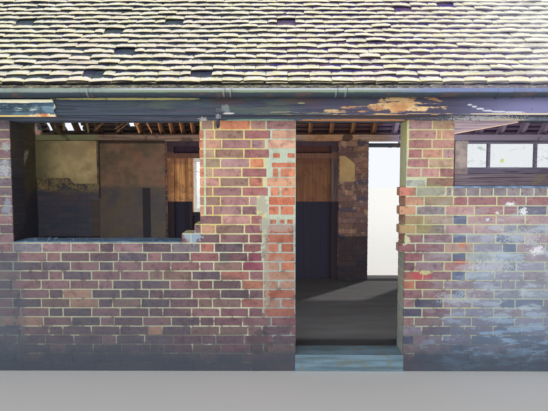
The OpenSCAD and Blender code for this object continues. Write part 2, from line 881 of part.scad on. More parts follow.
module rear_fascia() {
    color("darkslateblue") placed() on_rear()
        translate([0, -rear_face, rear_fascia_top - rear_fascia_h])
            cube([total_l, fascia_t, rear_fascia_h]);
}

// One length of gutter: a half-round channel with a socket at its right end, or with a stop
// where the whole run begins or ends.
module gutter_length(from, to, first, last) {
    spigot = first ? from : from + joint_play;
    bore_from = first ? from + gutter_t : spigot - eps;
    bore_to = last ? to - gutter_t : to + eps;
    difference() {
        union() {
            along_x(spigot, to - spigot) circle(r = gutter_r, $fn = round_fn);
            if (!last) along_x(to - gutter_t, socket_l + gutter_t)
                circle(r = socket_r, $fn = round_fn);
        }
        along_x(bore_from, bore_to - bore_from) circle(r = gutter_r - gutter_t, $fn = round_fn);
        if (!last) along_x(to, socket_l + eps)
            circle(r = gutter_r + bracket_fit, $fn = round_fn);
        translate([from - eps, -socket_r - eps, 0])
            cube([to + socket_l - from + 2 * eps, 2 * socket_r + 2 * eps, socket_r + eps]);
    }
}

module gutter(face, rim_z, gone) {
    last = len(gutter_joints) - 2;
    translate([0, -face - gutter_out, rim_z]) for (i = [0 : last - gone])
        gutter_length(gutter_joints[i], gutter_joints[i + 1], i == 0, i == last);
}

module front_gutter() {
    color("darkslategray") placed() gutter(front_face, front_gutter_z, 0);
}

module rear_gutter() {
    color("darkslategray") placed() on_rear()
        gutter(rear_face, rear_gutter_z, rear_lengths_gone);
}

// Straps that carry a gutter: a half ring round it and a plate on the fascia.
module brackets(face, rim_z, plate_top, gone) {
    seat_r = gutter_r + bracket_fit;
    plate_t = gutter_out - seat_r;
    for (i = [0 : bracket_count - 1 - gone])
        along_x(bracket_x(i) - bracket_w / 2, bracket_w) union() {
            translate([-face - gutter_out, rim_z]) difference() {
                circle(r = bracket_reach, $fn = round_fn);
                circle(r = seat_r, $fn = round_fn);
                translate([-bracket_reach - eps, 0])
                    square([2 * bracket_reach + 2 * eps, bracket_reach + eps]);
            }
            translate([-face - plate_t, rim_z - bracket_heel])
                square([plate_t, plate_top - rim_z + bracket_heel]);
        }
}

module gutter_brackets() {
    rear_plate_top = rear_fascia_top - rear_fascia_h + bracket_lap;
    color("black") placed() {
        brackets(front_face, front_gutter_z, front_gutter_z + bracket_lap, 0);
        on_rear() brackets(rear_face, rear_gutter_z, rear_plate_top, rear_lengths_gone);
    }
}

floor_slab();
left_gable_wall();
right_gable_wall();
front_wall_left();
front_apron_left();
centre_pier();
door_pier();
front_apron_right();
front_wall_right();
wide_sill_capping();
right_sill_capping();
front_threshold();
front_beam();
tapered_board();
iron_hook();
rear_wall_left();
rear_bay_frame();
rear_boarding();
rear_window_frame();
rear_window_glass();
rear_pier();
rear_threshold();
rear_wall_mid();
rear_apron_right();
strip_window_frame();
strip_window_glass();
strip_board();
rear_wall_plate();
wall_plaster();
wall_sheet();
front_rafters();
rear_rafters();
ridge_board();
collar_ties();
front_battens();
rear_battens();
front_tiles();
rear_tiles();
ridge_tiles();
front_fascia();
fascia_patch();
rear_fascia();
front_gutter();
rear_gutter();
gutter_brackets();
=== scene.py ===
# %% [markdown]
# # A derelict brick oast range
# The real thing is a low brick building with a plain-tile roof, open at the front, half
# forgotten. The walls, timbers, roof and gutters come from the CAD part as fixed nodes. This
# lesson lays real bricks into the walls, hangs real tiles on the battens, and gives each
# surface a procedural finish. It starts with the frame, because every piece takes its place
# from a CAD node.

# %% The frame and the tools
import math
import random

import bpy
import numpy as np
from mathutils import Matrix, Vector
from mathutils.bvhtree import BVHTree


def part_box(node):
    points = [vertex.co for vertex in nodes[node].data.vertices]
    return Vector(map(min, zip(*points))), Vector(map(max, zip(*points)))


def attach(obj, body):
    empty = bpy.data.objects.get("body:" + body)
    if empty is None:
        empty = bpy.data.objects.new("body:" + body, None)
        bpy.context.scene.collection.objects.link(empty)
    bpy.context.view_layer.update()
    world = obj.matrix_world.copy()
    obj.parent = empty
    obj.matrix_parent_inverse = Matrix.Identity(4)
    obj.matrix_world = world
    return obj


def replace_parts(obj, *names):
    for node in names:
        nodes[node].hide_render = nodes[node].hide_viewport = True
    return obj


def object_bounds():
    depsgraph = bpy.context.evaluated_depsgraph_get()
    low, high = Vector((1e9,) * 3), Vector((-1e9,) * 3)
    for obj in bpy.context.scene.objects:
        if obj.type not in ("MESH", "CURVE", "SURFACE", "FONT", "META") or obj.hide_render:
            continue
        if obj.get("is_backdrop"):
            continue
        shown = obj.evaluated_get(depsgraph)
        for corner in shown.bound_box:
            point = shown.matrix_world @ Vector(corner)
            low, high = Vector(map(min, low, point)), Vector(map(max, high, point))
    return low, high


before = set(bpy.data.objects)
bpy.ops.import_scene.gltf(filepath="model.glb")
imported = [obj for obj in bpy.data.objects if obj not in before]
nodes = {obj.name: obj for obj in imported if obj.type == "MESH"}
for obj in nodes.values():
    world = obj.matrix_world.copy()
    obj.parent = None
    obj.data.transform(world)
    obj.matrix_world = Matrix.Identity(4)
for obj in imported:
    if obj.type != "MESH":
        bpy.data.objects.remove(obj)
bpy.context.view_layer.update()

scene = bpy.context.scene

# %% [markdown]
# ## The camera
# A photographer stood in front of the doorway, with a wide lens held almost level. The focal
# length was worked out from the brick courses, which are 75 mm apart everywhere. The eye is
# placed out of the front wall's face, so the frame says where the wall is.

# %% The camera, 35 mm lens, four degrees down
front_low, front_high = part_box("front_wall_left")
front_face = front_low.y
EYE_OUT = 4.226
EYE = Vector((-0.4995, front_face - EYE_OUT, 1.639))
LOOK_DOWN = math.radians(3.95)
LOOK_LEFT = math.radians(0.234)

camera_data = bpy.data.cameras.new("eye")
camera_data.lens = 35.0
camera_data.sensor_width = 36.0
camera = bpy.data.objects.new("eye", camera_data)
camera.location = EYE
camera.rotation_euler = (math.pi / 2 - LOOK_DOWN, 0.0, LOOK_LEFT)
scene.collection.objects.link(camera)
scene.camera = camera
scene.view_settings.view_transform = "Standard"
print("camera", round(EYE_OUT, 2), "m in front of the wall")

# %% [markdown]
# ## Short words for shader nodes
# A procedural finish is a tree of small nodes, and in Python each node takes several lines.
# The functions below give every node one short word, so that a finish reads like a recipe. They
# write into the tree that is at work, which is a material or a node group, because both are
# node trees. Colours are given as on a paint chart, from 0 to 255.


# %% Colours and links
at_work = {"tree": None, "material": None}


def paint(red, green, blue):
    """A colour of the paint chart, turned into the linear values that Blender mixes."""
    shades = [value / 255 for value in (red, green, blue)]
    return tuple(
        s / 12.92 if s <= 0.04045 else ((s + 0.055) / 1.055) ** 2.4 for s in shades) + (1.0,)


def feed(socket, value):
    """Links what changes over the surface, and sets what is the same all over it."""
    if isinstance(value, bpy.types.NodeSocket):
        at_work["tree"].links.new(value, socket)
    else:
        socket.default_value = value


def add(kind, inputs=(), **settings):
    node = at_work["tree"].nodes.new("ShaderNode" + kind)
    for key, value in settings.items():
        setattr(node, key, value)
    for name, value in dict(inputs).items():
        feed(node.inputs[name], value)
    return node


print("middle grey of the chart is", round(paint(128, 128, 128)[0], 3), "in linear light")


# %% Where a point lies, and noise
def place():
    """Where a point lies in the building, in metres."""
    return add("TexCoord").outputs["Object"]


def part(vector, axis):
    return add("SeparateXYZ", {0: vector}).outputs[axis]


def parts(axes, vector=None):
    """How far a point lies along each of the axes, in metres."""
    vector = vector or place()
    return [part(vector, axis) for axis in axes]


def facing(axis):
    """How squarely a face looks along the axis, from -1 to 1."""
    return part(add("NewGeometry").outputs["True Normal"], axis)


def stretch(vector, scale):
    return add("VectorMath", {0: vector, 1: scale}, operation="MULTIPLY").outputs[0]


def noise(vector, scale, detail=4.0, rough=0.55, bend=0.0):
    return add("TexNoise", {"Vector": vector, "Scale": scale, "Detail": detail, "Roughness": rough,
                            "Distortion": bend}).outputs[0]


def cells(vector, scale):
    return add("TexVoronoi", {"Vector": vector, "Scale": scale}, feature="F1").outputs[0]


def streaks(scale, detail, rough, bend=0.0):
    """Noise drawn out along one axis of the building."""
    return noise(stretch(place(), scale), 1.0, detail, rough, bend)


print("places and noise at hand")


# %% Sums and soft steps
def step(value, low, high, start=0.0, end=1.0):
    """Rises smoothly from start at low to end at high."""
    return add("MapRange", {
        "Value": value, "From Min": low, "From Max": high, "To Min": start, "To Max": end},
        interpolation_type="SMOOTHSTEP").outputs[0]


def between(value, low, high, soft=0.004):
    """1 between two values, with a soft edge."""
    return times(step(value, low - soft, low + soft), step(value, high + soft, high - soft))


def reckon(operation, first, second=0.0):
    return add("Math", {0: first, 1: second}, operation=operation).outputs[0]


def plus(first, second):
    return reckon("ADD", first, second)


def minus(first, second):
    return reckon("SUBTRACT", first, second)


def times(first, second):
    return reckon("MULTIPLY", first, second)


print("steps and sums at hand")


# %% Coats of colour
def mix(mask, first, second, blend="MIX"):
    """The second colour laid over the first wherever the mask is 1."""
    first, second = (paint(*tone) if isinstance(tone, tuple) else tone for tone in (first, second))
    return add("Mix", {0: mask, 6: first, 7: second}, data_type="RGBA", blend_type=blend).outputs[2]


def coat(under, mask, tone, strong=1.0):
    """A coat of tone over the colour under it, as strong as said wherever the mask is 1."""
    return mix(mask if strong == 1.0 else times(mask, strong), under, tone)


def coats(under, rows):
    """Coats laid one after another, each given as (mask, tone) or (mask, tone, strong)."""
    for row in rows:
        under = coat(under, *row)
    return under


def use(effect, **inputs):
    """Places a shared effect, with its own values, and returns its outputs by name."""
    node = add("Group", node_tree=effect.tree)
    for name, value in inputs.items():
        feed(node.inputs[name], value)
    return node.outputs


print("words for nodes ready")

# %% [markdown]
# ## Light, floor and backdrop
# Late sun comes over the ridge from behind the right end, low enough that each tile shades the
# one below it. A broad soft lamp from the front and a pale world fill the shaded front wall.
# What the camera sees behind the building is plain white, by way of the Light Path node, so
# the background costs the object no light.


# %% Sun, front fill and a panel for the room
def lamp(name, kind, energy, colour, towards):
    """A lamp whose light travels towards the given direction."""
    data = bpy.data.lights.new(name, kind)
    data.energy = energy
    data.color = colour
    thing = bpy.data.objects.new(name, data)
    thing.rotation_mode = "QUATERNION"
    thing.rotation_quaternion = (-Vector(towards)).to_track_quat("Z", "Y")
    scene.collection.objects.link(thing)
    return thing


SUNS = [
    # name, strength, spread in degrees, colour, where it shines to
    ("sun_over_the_ridge", 2.6, 3.0, (1.0, 0.95, 0.86), (-0.484, -0.579, -0.656)),
    ("soft_front_fill", 1.75, 50.0, (1.0, 0.99, 0.97), (0.22, 0.95, -0.22)),
]
for name, strength, spread, colour, towards in SUNS:
    lamp(name, "SUN", strength, colour, towards).data.angle = math.radians(spread)
panel = lamp("room_light", "AREA", 80.0, (1.0, 0.97, 0.92), (0, 1, 0.12))
panel.location = (0.0, -1.30, 1.05)
panel.data.shape = "RECTANGLE"
panel.data.size, panel.data.size_y = 7.2, 1.7
panel.visible_camera = panel.visible_glossy = panel.visible_transmission = False
print(len(SUNS) + 1, "lamps")

# %% The pale world
SKY_LIGHT = 0.50
world = bpy.data.worlds.new("pale_sky")
world.use_nodes = True
scene.world = world
at_work["tree"] = world.node_tree
path = add("LightPath").outputs
seen = reckon("MAXIMUM", path["Is Camera Ray"], path["Is Glossy Ray"])
seen = reckon("MAXIMUM", seen, path["Is Transmission Ray"])
strength = add("MapRange", {"Value": seen, "To Min": SKY_LIGHT, "To Max": 1.0}).outputs[0]
background = world.node_tree.nodes["Background"].inputs
feed(background["Color"], (0.93, 0.96, 1.0, 1.0))
feed(background["Strength"], strength)
print("world light", SKY_LIGHT, "and 1 where the camera looks")

# %% A plain pale floor
FLOOR_REACH = 40.0
floor_mesh = bpy.data.meshes.new("pale_floor")
floor_mesh.from_pydata(
    [(x * FLOOR_REACH, y * FLOOR_REACH, -0.001) for x, y in ((-1, -1), (1, -1), (1, 1), (-1, 1))],
    [], [(0, 1, 2, 3)],
)
floor = bpy.data.objects.new("pale_floor", floor_mesh)
scene.collection.objects.link(floor)
floor_finish = bpy.data.materials.new("pale_floor")
floor_finish.use_nodes = True
floor_sockets = floor_finish.node_tree.nodes["Principled BSDF"].inputs
floor_sockets["Base Color"].default_value = (0.80, 0.80, 0.79, 1.0)
floor_sockets["Roughness"].default_value = 0.95
floor_mesh.materials.append(floor_finish)
floor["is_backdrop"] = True
print("floor", 2 * FLOOR_REACH, "m across")

# %% [markdown]
# ## Shared effects
# Weather marks more than one material in the same way: a damp foot runs over brick and joint
# alike. Each such effect is a node group with named inputs. It puts out only a mask or a
# colour, and the shader itself stays in the material.


# %% How an effect is made
class Effect:
    """A node group at work, with the sockets given as {name: (kind, first value)}."""

    def __init__(self, name, inputs, outputs):
        self.tree = at_work["tree"] = bpy.data.node_groups.new(name, "ShaderNodeTree")
        for socket_name, (kind, first) in inputs.items():
            self.tree.interface.new_socket(socket_name, in_out="INPUT",
                                           socket_type="NodeSocket" + kind).default_value = first
        for socket_name, kind in outputs.items():
            self.tree.interface.new_socket(
                socket_name, in_out="OUTPUT", socket_type="NodeSocket" + kind)
        self.given = self.tree.nodes.new("NodeGroupInput").outputs
        self.result = self.tree.nodes.new("NodeGroupOutput").inputs

    def gives(self, **results):
        for name, value in results.items():
            feed(self.result[name], value)
        print("effect", self.tree.name, "of", len(self.tree.nodes), "nodes")


# %% A stain, scar or splash at one place
stain = Effect("stain", {"Middle": ("Vector", (0, 0, 0)), "Reach": ("Vector", (1, 1, 1)),
                         "Ragged": ("Float", 0.6), "Grain": ("Float", 14.0)}, {"Mask": "Float"})
offset = add("VectorMath", {0: place(), 1: stain.given["Middle"]}, operation="SUBTRACT").outputs[0]
shrunk = add("VectorMath", {0: offset, 1: stain.given["Reach"]}, operation="DIVIDE").outputs[0]
away = add("VectorMath", {0: shrunk}, operation="LENGTH").outputs["Value"]
torn = minus(noise(place(), stain.given["Grain"], 6.0, 0.65), 0.5)
edge = plus(away, times(torn, times(stain.given["Ragged"], 4.0)))
stain.gives(Mask=step(edge, 1.05, 0.85))
SKIN_DEEP = 0.05


def stain_at(middle, reach, ragged, grains=14.0):
    """The mask of one stain, with its middle and its reach in metres."""
    return use(stain, Middle=middle, Reach=reach, Ragged=ragged, Grain=grains)["Mask"]


# %% Sawn grain that runs along one axis of the stretched place
grain = Effect("grain", {"Vector": ("Vector", (0, 0, 0)), "Stretch": ("Vector", (2, 40, 40))},
               {"Grain": "Float", "Split": "Float"})
along = stretch(grain.given["Vector"], grain.given["Stretch"])
fibre = noise(along, 1.0, 5.0, 0.6, 0.4)
checks = noise(along, 0.55, 2.0, 0.5, 1.2)
grain.gives(Grain=fibre, Split=step(checks, 0.38, 0.3))

# %% Blotches the size of a hand, specks the size of a crumb
mottle = Effect("mottle", {"Size": ("Float", 1.0)}, {"Blotch": "Float", "Crumb": "Float", "Pit": "Float"})
spot = place()
per_metre = reckon("DIVIDE", 1.0, mottle.given["Size"])
mottle.gives(Blotch=noise(spot, times(per_metre, 9.0), 5.0, 0.6),
             Crumb=noise(spot, times(per_metre, 160.0), 3.0, 0.7),
             Pit=step(cells(spot, times(per_metre, 75.0)), 0.2, 0.08))

# %% The inside of the room, for dust and dim distemper
room_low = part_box("left_gable_wall")[1]
room_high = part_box("right_gable_wall")[0]
rear_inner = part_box("rear_apron_right")[0].y
front_inner = front_high.y
indoors = Effect("indoors", {}, {"Mask": "Float"})
x, y = parts("XY")
WALL_SKIN = 0.006
indoors.gives(Mask=times(between(y, front_inner - WALL_SKIN, rear_inner + WALL_SKIN),
                         between(x, room_low.x - WALL_SKIN, room_high.x + WALL_SKIN)))
print("room from", round(front_inner, 3), "to", round(rear_inner, 3), "m across")

# %% [markdown]
# ## Weather and painted shade on the brickwork
# One effect carries everything that the years did to the wall as a whole: a dark damp foot,
# pale salts towards the right end, olive and sooty stains, and a few white splashes. Bricks and
# joints both pass their colour through it, so that a stain doesn't stop at a joint.
# The same effect also paints shade into the reveal of the wide opening and into the dim corners inside.

# %% Stains that were noted one by one
WALL_STAINS = [
    # middle x, z, reach x, z, colour, how ragged, how strong, grain
    (0.60, 1.19, 0.15, 0.09, (168, 160, 96), 0.5, 0.50, 22.0),
    (0.71, 1.46, 0.12, 0.07, (150, 146, 116), 0.5, 0.55, 22.0),
    (0.53, 1.07, 0.042, 0.040, (214, 216, 176), 0.5, 0.85, 30.0),
    (-0.92, 0.92, 0.055, 0.06, (84, 92, 92), 0.5, 0.45, 22.0),
    (-1.00, 0.70, 0.25, 0.10, (92, 84, 84), 0.5, 0.35, 22.0),
    (-0.615, 1.35, 0.048, 0.080, (176, 176, 168), 0.6, 0.80, 48.0),
    (-0.59, 1.20, 0.045, 0.060, (170, 172, 160), 1.0, 0.75, 60.0),
    (-0.575, 0.86, 0.022, 0.32, (176, 182, 170), 1.3, 0.50, 50.0),
    (-0.47, 1.17, 0.12, 0.035, (176, 172, 166), 1.0, 0.65, 60.0),
    (-0.48, 0.905, 0.035, 0.030, (160, 164, 158), 0.8, 0.60, 60.0),
    (-0.64, 0.24, 0.10, 0.10, (64, 70, 74), 0.5, 0.50, 22.0),
    (0.655, 0.782, 0.075, 0.034, (196, 84, 96), 0.9, 0.75, 40.0),
    (0.695, 0.808, 0.040, 0.018, (204, 204, 150), 0.8, 0.80, 50.0),
    (1.36, 1.36, 0.038, 0.014, (244, 244, 248), 1.2, 0.9, 90.0),
    (1.463, 1.30, 0.026, 0.030, (244, 244, 250), 1.2, 0.9, 90.0),
    (1.255, 1.288, 0.020, 0.012, (220, 236, 230), 0.9, 0.8, 60.0),
    (1.182, 1.235, 0.014, 0.014, (214, 220, 244), 0.9, 0.85, 60.0),
    (1.584, 0.985, 0.052, 0.030, (236, 236, 246), 1.3, 0.85, 90.0),
    (0.99, 1.035, 0.030, 0.028, (206, 118, 84), 1.0, 0.60, 60.0),
    (0.98, 0.895, 0.060, 0.018, (190, 84, 84), 0.8, 0.60, 40.0),
    (-2.655, 1.63, 0.035, 0.060, (184, 196, 206), 1.4, 0.60, 60.0),
    (-2.640, 1.82, 0.030, 0.035, (168, 190, 190), 1.2, 0.60, 40.0),
    (-2.640, 1.33, 0.035, 0.080, (150, 164, 182), 1.2, 0.60, 40.0),
    (-1.165, 1.095, 0.065, 0.050, (160, 186, 206), 1.0, 0.80, 40.0),
    (-1.130, 1.21, 0.024, 0.060, (60, 58, 70), 0.8, 0.70, 40.0),
    (1.25, 0.86, 0.18, 0.05, (206, 212, 224), 1.3, 0.50, 60.0),
    (1.45, 1.10, 0.14, 0.05, (210, 214, 222), 1.3, 0.45, 60.0),
    (0.95, 0.60, 0.14, 0.04, (190, 202, 216), 1.3, 0.45, 60.0),
]
print(len(WALL_STAINS), "noted stains")

# %% Grime, salts and damp outside
weather_and_shade = Effect("wall_weather", {"Colour": ("Color", (0.5, 0.3, 0.2, 1))}, {"Colour": "Color"})
spot = place()
x, y, z = parts("XYZ", spot)
cloud = noise(spot, 2.2, 5.0, 0.6)
fine_cloud = noise(spot, 11.0, 5.0, 0.65)
ragged_z = plus(z, times(minus(cloud, 0.5), 0.5))

grimy = mix(1.0, weather_and_shade.given["Colour"], (206, 212, 226), "MULTIPLY")
sill_side = times(step(x, -1.1, -1.7), step(z, 1.04, 0.9))
streaky = noise(stretch(spot, (5.0, 5.0, 17.0)), 1.0, 7.0, 0.68)
salts = step(streaky, 0.5, 0.6)
near_front = step(y, front_face + 0.3, front_face + 0.05, 0.3, 1.0)
salts_side = times(step(x, 0.45, 1.35), near_front)
salts_height = step(ragged_z, 1.5, 1.15)
salty = times(salts_side, salts_height)
damp = times(step(x, 0.5, 1.0), step(ragged_z, 0.62, 0.2))
damp = times(damp, near_front)
bloom = times(damp, step(streaky, 0.52, 0.58))
# grime below the sills, a darker foot, the bluish left jamb, then salts and damp on the right
washed = coats(weather_and_shade.given["Colour"], [
    (step(ragged_z, 1.3, 1.05, 0.0, 0.75), grimy),
    (step(ragged_z, 0.95, 0.15, 0.0, 0.48), (82, 84, 98)),
    (step(x, -2.5, -2.6, 0.0, 0.3), (84, 98, 116)),
    (sill_side, (76, 96, 106), 0.28),
    (salty, (164, 184, 204), 0.36),
    (times(salty, salts), (190, 204, 220), 0.55),
    (damp, (86, 104, 132), 0.5),
    (bloom, (136, 172, 206), 0.55),
])

foot = step(plus(z, times(fine_cloud, -0.24)), 0.18, -0.06)
washed = coat(washed, foot, (66, 76, 88), 0.8)

outer_skin = step(y, front_face + 0.02, front_face + 0.005)
for middle_x, middle_z, reach_x, reach_z, colour, ragged, strong, grains in WALL_STAINS:
    mark = stain_at((middle_x, front_face, middle_z), (reach_x, SKIN_DEEP, reach_z), ragged, grains)
    mark = times(times(mark, outer_skin), strong)
    washed = coat(washed, mark, colour)
print("outside face under", len(weather_and_shade.tree.nodes), "nodes of weather")

# %% Painted shade in the reveal of the wide opening, old paint in the doorway's reveal
left_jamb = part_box("front_wall_left")[1].x
reveal = times(between(x, left_jamb - 0.02, left_jamb + 0.05),
               between(y, front_face + 0.01, front_inner + 0.01))
# painted shade in the reveal of the wide opening, olive above and blue-black below
shade = mix(step(ragged_z, 1.75, 1.5), (66, 64, 54), (34, 38, 50))
washed = coat(washed, reveal, shade, 0.88)
door_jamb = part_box("door_pier")[0].x
reveal = times(between(x, door_jamb - 0.01, door_jamb + 0.06),
               between(y, front_face + 0.012, front_inner + 0.01))
washed = coats(washed, [
    (times(reveal, step(z, 1.46, 1.52)), (255, 250, 196), 0.85),
    (times(reveal, step(z, 1.52, 1.46)), mix(step(z, 0.95, 1.05), (206, 220, 206), (224, 176, 150)), 0.55),
])
print("reveals at", round(left_jamb, 3), "and", round(door_jamb, 3), "m along the front")

# %% Dust, distemper, a tarred foot and painted shade inside
inside = use(indoors)["Mask"]
dust = step(fine_cloud, 0.45, 0.62)
dusty = coat((70, 50, 48), dust, (106, 86, 72), 0.5)
dusty = mix(0.26, dusty, washed)
TAR_TOP = 0.714
plaster_low, plaster_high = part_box("wall_plaster")
dim_x = plaster_low.x + 0.9
far_left = step(x, dim_x + 0.5, dim_x - 0.2)
ragged_low = plus(z, times(minus(fine_cloud, 0.5), 0.35))
flaky = noise(spot, 38.0, 5.0, 0.7)
flaky = plus(times(flaky, 0.7), times(fine_cloud, 0.3))
patchy = times(step(flaky, 0.49, 0.53), step(z, 1.3, 1.36))
patchy = times(patchy, step(y, 1.0, 1.3, 0.25, 1.0))
flecks = times(step(fine_cloud, 0.56, 0.62), step(x, 0.2, 0.3))
sheet_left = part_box("wall_sheet")[0].x
gap = times(between(x, plaster_high.x - 0.01, sheet_left + 0.01), step(z, 1.22, 1.25))
beside_sheet = times(between(x, sheet_left - 0.115, sheet_left + 0.01), step(z, 1.22, 1.2))
shaded_gable_side = step(x, room_low.x + 0.012, room_low.x + 0.004)
tar = step(z, TAR_TOP + 0.004, TAR_TOP - 0.004)
# painted shade in the dim left corner, its flaking distemper, flecks, the gap by the sheet, painted shade on
# the gable side, and tar
dusty = coats(dusty, [
    (far_left, (84, 84, 74), 0.5),
    (times(patchy, far_left), (146, 132, 92), 0.85),
    (times(far_left, step(ragged_low, 1.4, 1.22)), (66, 76, 96), 0.7),
    (flecks, (176, 156, 132), 0.4),
    (gap, (30, 30, 34), 0.9),
    (beside_sheet, (84, 74, 58), 0.6),
    (shaded_gable_side, mix(step(ragged_z, 1.45, 1.15), (64, 66, 52), (36, 40, 52)), 0.8),
    (tar, (33, 33, 41), 0.92),
])
weather_and_shade.gives(Colour=coat(washed, inside, dusty, 0.92))


# %% [markdown]
# ## Finishes
# A finish is one Principled shader, with the recipe for its colour, roughness and bump. Plain
# numbers go straight onto the shader's own sockets.


# %% How a finish is made
def begin(name, rough=0.9, marks_size=1.0):
    """Puts a new material on the bench and returns its blotches, crumbs and pits."""
    material = bpy.data.materials.new(name)
    material.use_nodes = True
    material.node_tree.nodes["Principled BSDF"].inputs["Roughness"].default_value = rough
    at_work.update(tree=material.node_tree, material=material)
    return use(mottle, Size=marks_size)


def shows(colour, height=None, depth=0.002, rough=None, **constants):
    """Sends the colour, the relief and the roughness to the shader; gives the finished material."""
    sockets = at_work["tree"].nodes["Principled BSDF"].inputs
    feed(sockets["Base Color"], colour)
    if rough is not None:
        feed(sockets["Roughness"], rough)
    if height is not None:
        bump = add("Bump", {"Height": height, "Distance": depth, "Strength": 1.0})
        feed(sockets["Normal"], bump.outputs[0])
    for name, value in constants.items():
        sockets[name.replace("_", " ")].default_value = value
    print("finish", at_work["material"].name, "of", len(at_work["tree"].nodes), "nodes")
    return at_work["material"]


# %% [markdown]
# ### Brick and mortar
# No stock brick is of one colour: the kiln leaves drag marks, soot and orange flashes on it. Its
# tone comes with each brick, as a value that the mesh carries, and noise breaks that up. An
# image would look the same on every wall. The mortar was made of what was at hand, so it
# changes along the wall, and the rain has raked it out low down.

# %% Brick: its own tone, kiln marks, crumbs, pits and the wall's weather and painted shade
marks = begin("stock_brick", 0.92)
own = add("Attribute", attribute_name="tone").outputs["Color"]
drag = streaks((14.0, 14.0, 190.0), 4.0, 0.6)
sooty = step(noise(place(), 26.0, 4.0, 0.7), 0.52, 0.66)
ember = step(noise(place(), 44.0, 3.0, 0.7), 0.58, 0.68)
pale = step(marks["Crumb"], 0.62, 0.78)
body = coats(own, [
    (step(drag, 0.35, 0.7), (206, 160, 140), 0.25),
    (step(marks["Blotch"], 0.44, 0.66), mix(1.0, own, (186, 164, 176), "MULTIPLY"), 0.5),
    (sooty, mix(1.0, own, (140, 142, 164), "MULTIPLY"), 0.55),
    (ember, mix(0.5, own, (240, 158, 120)), 0.4),
    (marks["Pit"], (70, 54, 60), 0.45),
    (pale, (228, 208, 186), 0.35),
])
brick_finish = shows(use(weather_and_shade, Colour=body)["Colour"],
                     minus(plus(marks["Crumb"], times(drag, 0.6)), times(marks["Pit"], 0.8)), 0.0022)

# %% Lime mortar: yellow cream at the pier, grey at the repair, pale and minty to the right
marks = begin("lime_mortar", 0.97, 0.8)
spot = place()
x, z = parts("XZ", spot)
tint = step(noise(spot, 1.6, 3.0), 0.4, 0.6)
patched = between(x, -0.585, -0.3, 0.03)
gritty = step(marks["Crumb"], 0.5, 0.36)
old_strip = times(between(x, -1.078, -1.05), step(z, 1.24, 1.27))
low_down = step(plus(z, times(marks["Blotch"], 0.1)), 0.5, 0.3, 0.0, 0.15)
raked = step(plus(noise(spot, 9.0, 5.0, 0.65), low_down), 0.55, 0.6)
raked = times(raked, step(z, 1.35, 0.75, 0.25, 0.95))
room = use(indoors)["Mask"]
kept = minus(0.5, times(room, 0.5))
kept = times(kept, step(z, 0.05, 0.4))
# the joints in the reveal of the wide opening take the full painted shade
kept = times(kept, step(x, left_jamb + 0.05, -2.5))
near_repair = between(x, -0.7, -0.3, 0.02)
kept = minus(kept, times(kept, times(near_repair, 0.9)))
kept = minus(kept, times(kept, times(step(x, 0.9, 1.6), 0.6)))
# yellow above, whiter from the sills down, minty to the right, patched by the door, raked low down
lime = coats((232, 216, 136), [
    (tint, (230, 222, 164)),
    (step(z, 1.25, 1.0), (226, 232, 204), 0.8),
    (step(x, 0.2, 0.6), mix(tint, (216, 212, 160), (206, 216, 186))),
    (patched, mix(tint, (202, 216, 200), (214, 230, 214)), 0.9),
    (old_strip, (216, 230, 206), 0.8),
    (times(old_strip, gritty), (150, 150, 130), 0.6),
    (step(x, -1.0, -1.4), (176, 172, 148), 0.5),
    (step(marks["Blotch"], 0.54, 0.7), (160, 146, 118), 0.45),
    (marks["Pit"], (104, 92, 76), 0.5),
    (times(patched, gritty), (128, 136, 132), 0.55),
    (raked, mix(step(z, 0.75, 0.4), (112, 94, 92), (92, 82, 88)), 0.75),
    (room, (92, 74, 66), 0.75),
])
mortar_finish = shows(mix(kept, use(weather_and_shade, Colour=lime)["Colour"], lime),
                      plus(marks["Crumb"], marks["Blotch"]), 0.003)

# %% [markdown]
# ### Tiles
# On an old roof lichen covers what the sun reaches, and dark growth stays in the shadow of the
# tile above. Each point of a tile knows how far up from the tail it lies, so the crust can end
# in a ragged line along every course. A pattern over the whole roof wouldn't follow the tails.
# The bright band is also painted sunlight, and the dark lap band is also painted shadow.

# %% Clay tile: cream lichen and painted sunlight on the lower part, dark growth and painted shadow in the lap
marks = begin("plain_tile")
lie = add("Attribute", attribute_name="lie").outputs["Vector"]
from_tail, seed, across = parts("XYZ", lie)
spot = place()
x = part(spot, "X")
# painted glare on the right of the front slope
glare_paled = times(step(part(spot, "Y"), -0.02, -0.06), step(x, 3.4, 2.5))
broad = noise(spot, 1.3, 4.0, 0.6)
shade = step(noise(spot, 7.0, 3.0), 0.42, 0.58)
clay = coats((150, 108, 104), [
    (seed, (104, 92, 112)),
    (step(marks["Blotch"], 0.45, 0.65), (96, 94, 100), 0.6),
])
# the lap band: dark growth and painted shadow, blue to the left and purple to the right
left_side = mix(shade, (30, 46, 82), (60, 84, 92))
right_side = mix(shade, (76, 60, 140), (116, 88, 124))
lap_mask = step(plus(from_tail, times(marks["Blotch"], 0.05)), 0.058, 0.078)
lap = coats(left_side, [
    (step(x, -1.2, -0.1), right_side),
    (times(step(x, 1.1, 1.9), glare_paled), (160, 166, 172)),
])
clay = coat(clay, lap_mask, lap, 0.88)
# the crust of lichen and painted sunlight ends in a bow on each tile, torn by noise, and reaches further up
# on the right side, where glare is painted
bowed = reckon("POWER", reckon("ABSOLUTE", minus(across, 0.5)), 2.0)
reach = plus(from_tail, times(bowed, 0.04))
reach = plus(reach, times(minus(noise(spot, 30.0, 5.0, 0.65), 0.5), 0.075))
reach = plus(reach, times(minus(seed, 0.5), 0.026))
reach = minus(reach, times(step(x, 0.4, 2.0, 0.0, 0.01), glare_paled))
crusted = step(reach, 0.072, 0.06)
